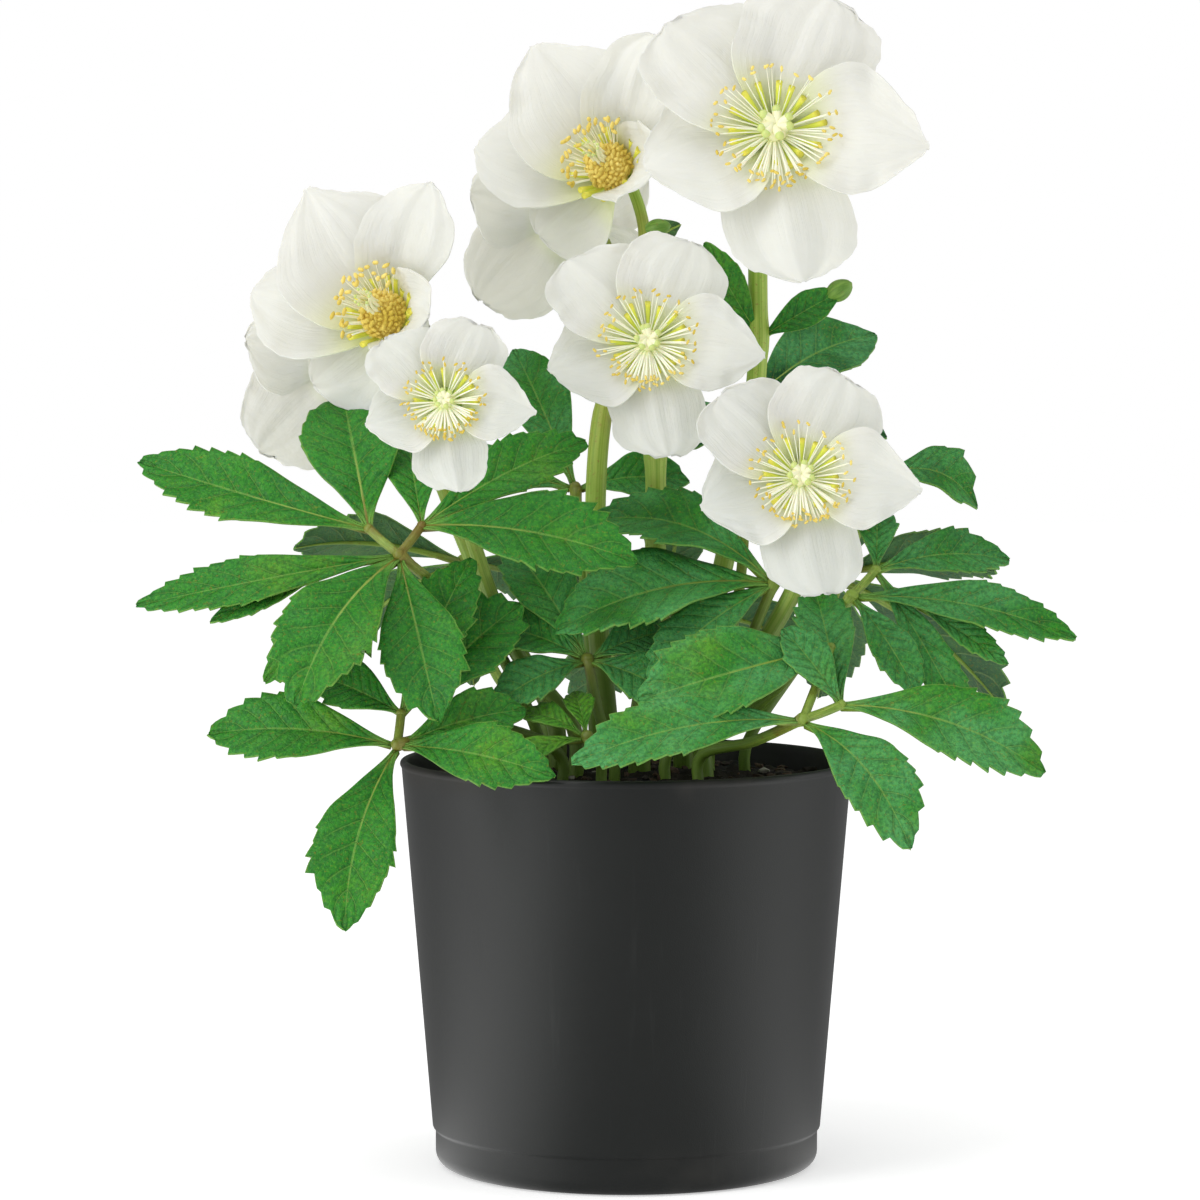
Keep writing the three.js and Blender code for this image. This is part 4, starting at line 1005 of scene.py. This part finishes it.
draw = random.Random(5)
for stem in FLOWER_STEMS:
    node = "flower_stem_" + stem["name"]
    bracts = stem.get("bracts", [])
    joints = [Vector(bract[0]) for bract in bracts]
    foot_radius, tip_radius = stem["radius"]
    fork = stem["via"][-2]
    rods = new_rods()
    if "branch" in stem:
        via, bloom = stem["branch"]
        way = smooth_way([fork, via, *approach(bloom)], STEM_SPACING)
        rod(rods, way, swelling(way, joints, tip_radius, tip_radius, 0), sides=14)
    way = smooth_way(
        [*rooted(stem["foot"], STEM_UPRIGHT), *stem["via"], *approach(stem["name"])], STEM_SPACING)
    rod(rods, way, swelling(way, joints, foot_radius, tip_radius, fork[2]), sides=16)
    flushed(rods, [*joints, Vector(fork)], stem.get("flush", 0.1))
    blades = new_blades()
    for start, tip, width, faces in bracts:
        start, tip, faces = Vector(start), Vector(tip), Vector(faces).normalized()
        rib = leaflet(
            blades, draw, BRACT_TONE, start, tip, faces, width, BRACT_ARCH, teeth_share=BRACT_TEETH)
        rod(rods, rib, lambda share: BRACT_RIB * (1.2 - share), sides=8)
    for base, along, length, radius in stem.get("buds", []):
        along = Vector(along).normalized() * length
        way = [Vector(base) + along * k / BUD_RINGS for k in range(BUD_RINGS + 1)]
        rod(rods, way, lambda share: bud_radius(radius, share), sides=14, tint=BUD_TINT)
    bmesh.ops.recalc_face_normals(rods, faces=rods.faces[:])
    pieces = [finished(node + "_stalk", rods, flower_stem, bud_finish)]
    if bracts:
        pieces.append(blades_object(node + "_bracts", blades))
    for made in pieces:
        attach(made, "root")
        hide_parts(node)

# ---------------------------------------------------------------- sepals
# Five broad white sepals to a bloom, thin and silky, faintly ribbed from base to tip and greenish where
# they join a small green receptacle. Each lies over the next all the way round.

# For each sepal: the way it points, in degrees as seen face on; its length and width as shares of the
# bloom's size; how pointed it is; how far its tip hooks round; how steeply it leaves the receptacle and
# ends; and whether its two edges lie over (1) or under (-1) the next sepal's.
SEPAL_FORMS = {
    "open": [
        (-5, 1.06, 0.88, 1.0, -0.06, (30, -4), (1, 1)),
        (69, 0.985, 0.94, 0.0, -0.03, (30, -6), (-1, 1)),
        (129, 1.01, 0.94, 0.12, 0.10, (31, -5), (-1, 1)),
        (203, 0.94, 0.92, 0.95, -0.08, (30, -7), (-1, 1)),
        (276, 1.08, 0.85, 0.18, 0.07, (29, -10), (-1, -1)),
    ],
    "cup": [
        (-12, 0.64, 0.54, 0.1, 0.0, (68, 30), (1, 1)),
        (67, 1.03, 0.62, 0.5, -0.03, (56, 12), (-1, 1)),
        (120, 1.06, 0.92, 0.9, 0.08, (56, 10), (-1, 1)),
        (169, 1.0, 0.86, 0.7, 0.05, (36, 0), (-1, 1)),
        (219, 0.67, 0.74, 0.15, 0.0, (20, -14), (-1, -1)),
    ],
    "rear": [
        (6, 1.02, 0.88, 0.3, 0.05, (34, -4), (-1, 1)),
        (84, 0.96, 0.84, 0.3, 0.0, (34, -4), (-1, 1)),
        (158, 0.86, 0.84, 0.5, 0.0, (34, -4), (-1, 1)),
        (236, 0.84, 0.84, 0.3, 0.0, (34, -4), (-1, 1)),
        (313, 1.24, 1.0, 0.05, 0.0, (34, -4), (-1, 1)),
    ],
}
SEPAL_START = 4
SEPAL_FOOT = 0.16
SEPAL_SWELL = 0.8
SEPAL_FULLEST = 0.52
SEPAL_END = 0.06
SEPAL_CUP = 0.13
SEPAL_OVER = 0.09  # an edge that lies over its neighbour is lifted, and one below it is lowered
SEPAL_UNDER = 0.30
SEPAL_TUCKED = 0.28  # share of its width that a lower edge gives up near the base
SEPAL_LIFT_FROM = 0.25
SEPAL_ROLL = 0.9
SEPAL_WAVE = 0.05
SEPAL_WAVES = 7
SEPAL_RUFFLES = (0.028, 0.013)  # height of the edges' long and short waves, as shares of the bloom's size
SEPAL_PLEATS = (0.013, 0.005)  # height of the waves across
SEPAL_THICK = 0.45
SEPAL_COLUMNS = 30
SEPAL_ROWS = 40


def along_it(tree, uv_map):
    """How far along a piece, from 0 to 1, by its UV map."""
    return wired(tree, "SeparateXYZ", {0: wired(tree, "UVMap", uv_map=uv_map)})["Y"]


sepal_finish, tree, shader = material(
    "white sepal", Roughness=0.55, Specular_IOR_Level=0.35, Subsurface_Weight=0.5, Subsurface_Scale=0.004,
    Subsurface_Radius=(1.0, 0.9, 0.7))
place = place_in(tree)
run = wired(tree, "UVMap", uv_map="sepal")
along = along_it(tree, "sepal")
ribs = noise_in(stretched(run, 34, 1.3, 1), 1, 3, 0.6)
fine_ribs = noise_in(stretched(run, 95, 3, 1), 1, 2)
ribbed = between(along, 0.92, 0.62)  # the ribs run out before the tip
colour = mixed(between(noise_in(place, 30, 3), 0.3, 0.7), (0.755, 0.748, 0.665), (0.695, 0.690, 0.625))
colour = mixed(between(ribs, 0.50, 0.66) * (ribbed * 0.12), colour, (0.68, 0.68, 0.57))
feed(shader, Base_Color=mixed(between(along, 0.44, 0.05) * 0.85, colour, (0.80, 0.86, 0.42)))
crinkle = noise_in(place, 130, 3, 0.55)
bumped(shader, (ribs + fine_ribs * 0.45) * ribbed + crinkle * 1.6, 0.0003)


def bloom_axes(name):
    """The way a bloom looks, and right and up in its face, as seen face on."""
    axis = Vector(BLOOMS[name][2]).normalized()
    right = Vector((-axis.y, axis.x, 0)).normalized()
    return axis, right, axis.cross(right)


def sepal_outline(t, pointed):
    """Half width along a sepal, as a share of the greatest. A pointed one narrows sooner."""
    if t < SEPAL_FULLEST:
        return SEPAL_FOOT + (1 - SEPAL_FOOT) * math.sin(math.pi / 2 * t / SEPAL_FULLEST) ** SEPAL_SWELL
    past = (t - SEPAL_FULLEST) / (1 - SEPAL_FULLEST)
    narrowed = max(0, 1 - past ** lerp(3.6, 1.35, pointed)) ** lerp(0.5, 0.95, pointed)
    return max(SEPAL_END, narrowed)


def wobbles(draw, fewest, most):
    """Waves to lay over one another, each with a count of at least its fewest, and a phase."""
    return [(draw.uniform(low, low * most), draw.uniform(0, 6.3)) for low in fewest]


def sepal(bm, draw, name, at, length, width, pointed, hook, rises, lifts):
    """A sepal rises from the receptacle and flares out, hollow across, with ruffled edges."""
    axis, right, up = bloom_axes(name)
    _, centre, _, size = BLOOMS[name]
    turn = math.radians(at)
    out = right * math.cos(turn) + up * math.sin(turn)
    across = axis.cross(out)
    start, end = [math.radians(angle) for angle in rises]
    long = length * size - SEPAL_START
    ruffles = [wobbles(draw, (1.2, 3.2), 1.7) for _ in range(2)]
    pleats = wobbles(draw, (1.4, 4.0), 1.6)
    seed = Vector((draw.uniform(0, 50), draw.uniform(0, 50), 0))
    sheet = bmesh.ops.create_grid(bm, x_segments=SEPAL_COLUMNS, y_segments=SEPAL_ROWS, size=0.5)["verts"]
    spread = {}
    for vertex in sheet:
        # s: across, from -1 to 1. t: along, from base to tip, in rows that are closer at the tip.
        s, t = -2 * vertex.co.x, 1 - (0.5 - vertex.co.y) ** 1.35
        spread[vertex] = (0.5 + s / 2, t)
        right_half = s > 0
        outline = sepal_outline(t, pointed)
        slope = lerp(start, end, t)
        rise = long * (math.cos(start) - math.cos(slope)) / (end - start)
        half = width * size * outline / 2
        under = lifts[right_half] < 0
        if under and max(lifts) > 0:
            half *= 1 - SEPAL_TUCKED * (1 - smooth_step(t, 0.3, 0.6))
        side = 4 if right_half else 9
        edge = 0.12 * noise.noise(seed + Vector((3.4 * t, side, 0)))
        edge += 0.032 * noise.noise(seed + Vector((12 * t, side, 5)))
        half *= 1 + edge * smooth_step(t, 0.3, 0.7)
        off = s * half / size
        ragged = 0.040 * noise.noise(seed + Vector((6 * off, 0, 1)))
        ragged += 0.022 * noise.noise(seed + Vector((20 * off, 0, 2)))
        reach = long * (1 + t * ragged) * (math.sin(slope) - math.sin(start)) / (end - start)
        reach += SEPAL_START
        roll = math.sin(slope) * min(SEPAL_ROLL, half / (2 * reach))
        hollow = SEPAL_CUP * (1 - t / 2) + roll + SEPAL_WAVE * math.sin(SEPAL_WAVES * t)
        lift = (-SEPAL_UNDER if under else SEPAL_OVER) * min(1, t / SEPAL_LIFT_FROM)
        ruffle = pleat = 0
        for (count, phase), high in zip(ruffles[right_half], SEPAL_RUFFLES):
            ruffle += high * size * math.sin(2 * math.pi * count * t + phase)
        for (count, phase), high in zip(pleats, SEPAL_PLEATS):
            pleat += high * size * math.sin(count * math.pi * s + phase)
        ruffle *= abs(s) ** 2.6 * (smooth_step(t, 0.66, 0.95) if under else smooth_step(t, 0.2, 0.6))
        pleat *= smooth_step(t, 0.25, 0.65)
        bow = half * (hollow * s * s + lift * abs(s)) + (ruffle + pleat) * outline
        lean = out * (reach - bow * math.sin(slope)) + axis * (rise + bow * math.cos(slope))
        vertex.co = Vector(centre) + lean + across * (s * half + hook * size * t ** 3)
    mapped(bm, spread)


# The receptacle's outline: radius, and height along the way the bloom looks.
RECEPTACLE = [(0, -3.2), (2.6, -3.2), (3.4, -2.4), (4.9, -0.6), (5.2, 0.2), (4.6, 1.0), (0, 1.3)]


def facing(name):
    """Stands a mesh that rises along +Z on a bloom's centre, rising the way the bloom looks."""
    axis, right, up = bloom_axes(name)
    stand = Matrix((right, up, axis)).transposed().to_4x4()
    stand.translation = Vector(BLOOMS[name][1])
    return stand


draw = random.Random(17)
for name, (form, _, _, _) in BLOOMS.items():
    node = "sepals_" + name
    bm = bmesh.new()
    bm.loops.layers.uv.new("sepal")
    for sepal_form in SEPAL_FORMS[form]:
        sepal(bm, draw, name, *sepal_form)
    whorl = finished(node + "_whorl", bm, sepal_finish)
    thickness = whorl.modifiers.new("sepal", "SOLIDIFY")
    thickness.thickness = SEPAL_THICK * MM
    thickness.offset = -1
    crisp = whorl.modifiers.new("edge", "EDGE_SPLIT")
    crisp.split_angle = math.radians(50)
    bm = spun(RECEPTACLE, steps=24)
    bm.loops.layers.uv.new("length")
    bmesh.ops.transform(bm, matrix=facing(name), verts=bm.verts[:])
    receptacle = finished("receptacle_" + name, bm, flower_stem)
    for made in (whorl, receptacle):
        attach(made, "root")
        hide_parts(node)

# ---------------------------------------------------------------- nectaries
# A ring of small tubes between the sepals and the stamens: lime green funnels that open upwards in a
# golden mouth, grown from the receptacle.
NECTARIES = 16
NECTARY_LENGTH = 0.26  # share of the bloom's size
NECTARY_RING = 3.6
NECTARY_FOOT = 1.2
NECTARY_CURL = 0.9
NECTARY_MOUTH = 0.95
NECTARY_LEAN = {"open": 60, "cup": 40, "rear": 58}  # degrees off the bloom's axis
BLOOM_SIZE = 40  # small parts are sized for a bloom of this size
UP = Vector((0, 0, 1))
SIXTHS = [step / 6 for step in range(7)]  # shares of the way along a tube or filament

# Painted light: the nectaries glow faintly lime, standing in for light through the tissue, so the shaded
# throat stays bright.
nectary_finish, tree, shader = material(
    "nectary", Roughness=0.38, Subsurface_Weight=0.1, Subsurface_Scale=0.002, Emission_Strength=0.12,
    Emission_Color=(0.62, 0.74, 0.10))
along = along_it(tree, "length")
cells = tissue_at(place_in(tree))
colour = mixed(between(along, 0.1, 0.7), (0.55, 0.66, 0.12), (0.70, 0.74, 0.08))
colour = mixed(between(along, 0.72, 1.0), colour, (0.84, 0.74, 0.08))
feed(shader, Base_Color=mixed(cells["Clouds"] * 0.3, colour, (0.50, 0.62, 0.10)))
bumped(shader, cells["Grain"], 0.0001)


def heading(turn):
    """The level direction at an angle."""
    return Vector((math.cos(turn), math.sin(turn), 0))


draw = random.Random(23)
for name, (form, _, _, size) in BLOOMS.items():
    bm = new_rods()
    scale = size / BLOOM_SIZE
    for k in range(NECTARIES):
        out = heading(2 * math.pi * (k + draw.uniform(-0.25, 0.25)) / NECTARIES)
        lean = math.radians(NECTARY_LEAN[form] + draw.uniform(-7, 7))
        length = NECTARY_LENGTH * size * draw.uniform(0.85, 1.1)
        foot = out * NECTARY_RING + UP * NECTARY_FOOT
        away = (out * math.sin(lean) + UP * math.cos(lean)) * length
        way = [foot + away * t + UP * (NECTARY_CURL * scale * t ** 2) for t in SIXTHS]
        mouth = NECTARY_MOUTH * scale ** 0.6
        caps = rod(bm, way, lambda t: mouth * (0.42 + 0.58 * t ** 1.3), sides=8)
        far = max(caps, key=lambda face: (face.calc_center_median() - foot).length)
        bmesh.ops.recalc_face_normals(bm, faces=bm.faces[:])
        bmesh.ops.inset_individual(bm, faces=[far], thickness=0.28 * mouth, depth=-0.6)
    bmesh.ops.transform(bm, matrix=facing(name), verts=bm.verts[:])
    nectaries = finished("nectaries_" + name, bm, nectary_finish)
    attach(nectaries, "root")

# ---------------------------------------------------------------- stamens and pistils
# A brush of fine cream filaments, each tipped with a golden anther, round a knot of plump pale green
# carpels whose styles lean together in the middle.
GOLDEN_SHARE = 0.381966  # of the way round, from each stamen to the next
# For each form: the lean of the inmost and outmost stamens off the axis in degrees, their length as a share
# of the bloom's size, their number, and the fan they fill, in degrees.
BRUSHES = {
    "open": (46, 65, 0.41, 66, (0, 360)),
    "cup": (18, 33, 0.40, 28, (60, 240)),
    "rear": (10, 50, 0.35, 44, (0, 360)),
}
STAMEN_RING = 2.8
STAMEN_INMOST = 0.4
STAMEN_INNER_LENGTH = 0.9
STAMEN_FOOT = 2.0
CROWDING = {"open": 0.55, "cup": 0, "rear": 0.3}  # they crowd towards the lower side of a bloom
FILAMENTS = (0.16, 0.36)  # radius at the upper side and at the lower side
ANTHER = Vector((0.48, 0.58, 1.05))
CUP_ANTHERS = 1.35  # they are this much larger in a cup bloom
DOME_RADIUS = 0.145  # in a cup bloom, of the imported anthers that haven't opened, as shares of its size
DOME_FOOT = 0.17
DOME_HEIGHT = 0.19
DOME_ANTHERS = 170
DOME_CORE = 0.9
DOME_DOWN = 1.25  # how far down the anthers cover it, in half heights from the top
CARPELS = {  # number, length in a bloom of size 44, and stoutness of the carpel and of its style
    "open": (7, 9.5, 1.75, 0.72),
    "cup": (8, 21, 1.0, 0.45),
    "rear": (7, 9.5, 1.4, 0.7),
}
CARPEL_WAYS = {  # how far from the middle a carpel stands, at four heights
    "open": (1.9, 1.7, 0.9, 3.3),
    "cup": (2.7, 2.5, 2.3, 3.2),
    "rear": (1.9, 1.7, 0.9, 3.3),
}
CARPEL_BLOOM = 44
HEART_HEIGHT = 2.4
ANTHER_TINT, CARPEL_TINT = 1, 2  # places in the brush's list of finishes

# Painted light: the filaments glow faintly cream, standing in for light through them, so they and the shade
# between them stay pale.
filament_finish, tree, shader = material(
    "filament", Roughness=0.5, Subsurface_Weight=0.15, Subsurface_Scale=0.001, Emission_Strength=0.10,
    Emission_Color=(0.90, 0.92, 0.66))
cells = tissue_at(place_in(tree))
colour = mixed(between(along_it(tree, "length"), 0.0, 0.45), (0.76, 0.84, 0.30), (0.95, 0.94, 0.80))
feed(shader, Base_Color=mixed(cells["Clouds"] * 0.3, colour, (0.80, 0.80, 0.55)))

# Painted light: the anthers glow faintly golden, to lighten them.
anther_finish, tree, shader = material(
    "anther", Roughness=0.75, Emission_Strength=0.09, Emission_Color=(0.90, 0.70, 0.16))
cells = tissue_at(place_in(tree))
feed(shader, Base_Color=mixed(between(cells["Clouds"], 0.35, 0.65), (0.60, 0.44, 0.045), (0.86, 0.70, 0.20)))
bumped(shader, cells["Grain"], 0.0002)

# Painted light: the carpels glow very faintly cream, to lighten the knot.
carpel_finish, tree, shader = material(
    "carpel", Roughness=0.4, Subsurface_Weight=0.1, Subsurface_Scale=0.001, Emission_Strength=0.02,
    Emission_Color=(0.90, 0.92, 0.56))
cells = tissue_at(place_in(tree))
colour = mixed(between(along_it(tree, "length"), 0.05, 0.6), (0.58, 0.68, 0.20), (0.92, 0.89, 0.60))
feed(shader, Base_Color=mixed(cells["Clouds"] * 0.25, colour, (0.70, 0.75, 0.34)))
bumped(shader, cells["Grain"], 0.0001)


def anther(bm, draw, at, scale):
    """A small grain, lying across its filament."""
    spin = Matrix.Rotation(draw.uniform(0, 3.14), 4, "Z") @ Matrix.Rotation(draw.uniform(0.6, 1.57), 4, "X")
    stand = Matrix.Translation(at) @ spin @ Matrix.Diagonal((*(ANTHER * scale), 1))
    grain = bmesh.ops.create_icosphere(bm, subdivisions=1, radius=1, matrix=stand)["verts"]
    tinted(grain, ANTHER_TINT)


def ball(bm, tint, middle, wide, high):
    """A round body on the bloom's axis, from its half width and half height."""
    stand = Matrix.Translation(UP * middle) @ Matrix.Diagonal((wide, wide, high, 1))
    tinted(bmesh.ops.create_icosphere(bm, subdivisions=2, radius=1, matrix=stand)["verts"], tint)


def carpel_radius(belly, style, share):
    """A carpel is plump low down, and narrows to its style."""
    return belly * (style + (1 - style) * math.exp(-(((share - 0.35) / 0.3) ** 2)))


draw = random.Random(29)
for name, (form, _, _, size) in BLOOMS.items():
    inner, outer, long, count, fan = BRUSHES[form]
    bm = new_rods()
    for k in range(count):
        share = math.sqrt(lerp(STAMEN_INMOST ** 2, 1, k / (count - 1)))
        turn = math.radians(lerp(*fan, k * GOLDEN_SHARE % 1)) + draw.uniform(-0.1, 0.1)
        turn -= CROWDING[form] * math.cos(turn)
        thick = lerp(*FILAMENTS, 0.5 - 0.5 * math.sin(turn))
        lean = math.radians(lerp(inner, outer, share) + draw.uniform(-4, 4))
        far = long * size * lerp(STAMEN_INNER_LENGTH, 1, share) * draw.uniform(0.92, 1.05)
        foot = heading(turn) * (STAMEN_RING * share) + UP * STAMEN_FOOT
        out, high = heading(turn) * (far * math.sin(lean)), UP * (far * math.cos(lean))
        way = [foot + out * t ** 1.2 + high * t ** 0.85 for t in SIXTHS]
        rod(bm, way, lambda t: thick * (1.25 - 0.5 * t), sides=4)
        anther(bm, draw, way[-1], (size / BLOOM_SIZE) ** 0.5 * (CUP_ANTHERS if form == "cup" else 1))
    if form == "cup":
        wide, low, high = DOME_RADIUS * size, DOME_FOOT * size, DOME_HEIGHT * size
        ball(bm, ANTHER_TINT, low, wide * DOME_CORE, high * DOME_CORE)
        for k in range(DOME_ANTHERS):
            level = 1 - DOME_DOWN * (k + 0.5) / DOME_ANTHERS
            out = heading(2 * math.pi * k * GOLDEN_SHARE) * math.sqrt(1 - level * level)
            spot = (out * wide + UP * level * high) * draw.uniform(0.88, 1.08)
            anther(bm, draw, spot + UP * low, draw.uniform(1.1, 1.6))
    scale = size / CARPEL_BLOOM
    carpels, tall, stout, style = CARPELS[form]
    first, second, third, last = CARPEL_WAYS[form]
    high = tall * scale
    belly = stout * scale
    wide = belly / 1.4
    for k in range(carpels):
        turn = 2 * math.pi * k / carpels + draw.uniform(-0.15, 0.15)
        aside = heading(turn + draw.uniform(0.3, 0.8)) * wide
        out = heading(turn) * wide
        way = smooth_way([
            heading(turn) * 1.3 + UP * 1.4,
            out * first + UP * (1.5 + 0.3 * high),
            out * second + UP * (1.4 + 0.6 * high),
            out * third + UP * (1.3 + 0.82 * high),
            aside * last + UP * (1.3 + high * draw.uniform(0.93, 1.05)),
        ], spacing=0.6)
        rod(bm, way, lambda t: carpel_radius(belly, style, t), sides=10, tint=CARPEL_TINT)
        end = Matrix.Translation(way[-1])
        stigma = bmesh.ops.create_icosphere(bm, subdivisions=2, radius=belly * style * 1.08, matrix=end)
        tinted(stigma["verts"], CARPEL_TINT)
    heart = {"segments": 20, "radius1": 3.6, "radius2": 2.6, "depth": HEART_HEIGHT}
    bmesh.ops.create_cone(bm, cap_ends=True, matrix=Matrix.Translation(UP * HEART_HEIGHT), **heart)
    ball(bm, CARPEL_TINT, 2 + 0.42 * high, 1.9 * wide, 0.38 * high)  # fills the middle of the carpels
    bmesh.ops.recalc_face_normals(bm, faces=bm.faces[:])
    bmesh.ops.transform(bm, matrix=facing(name), verts=bm.verts[:])
    brush = finished("stamens_" + name + "_brush", bm, filament_finish, anther_finish, carpel_finish)
    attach(brush, "root")
    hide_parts("stamens_" + name)
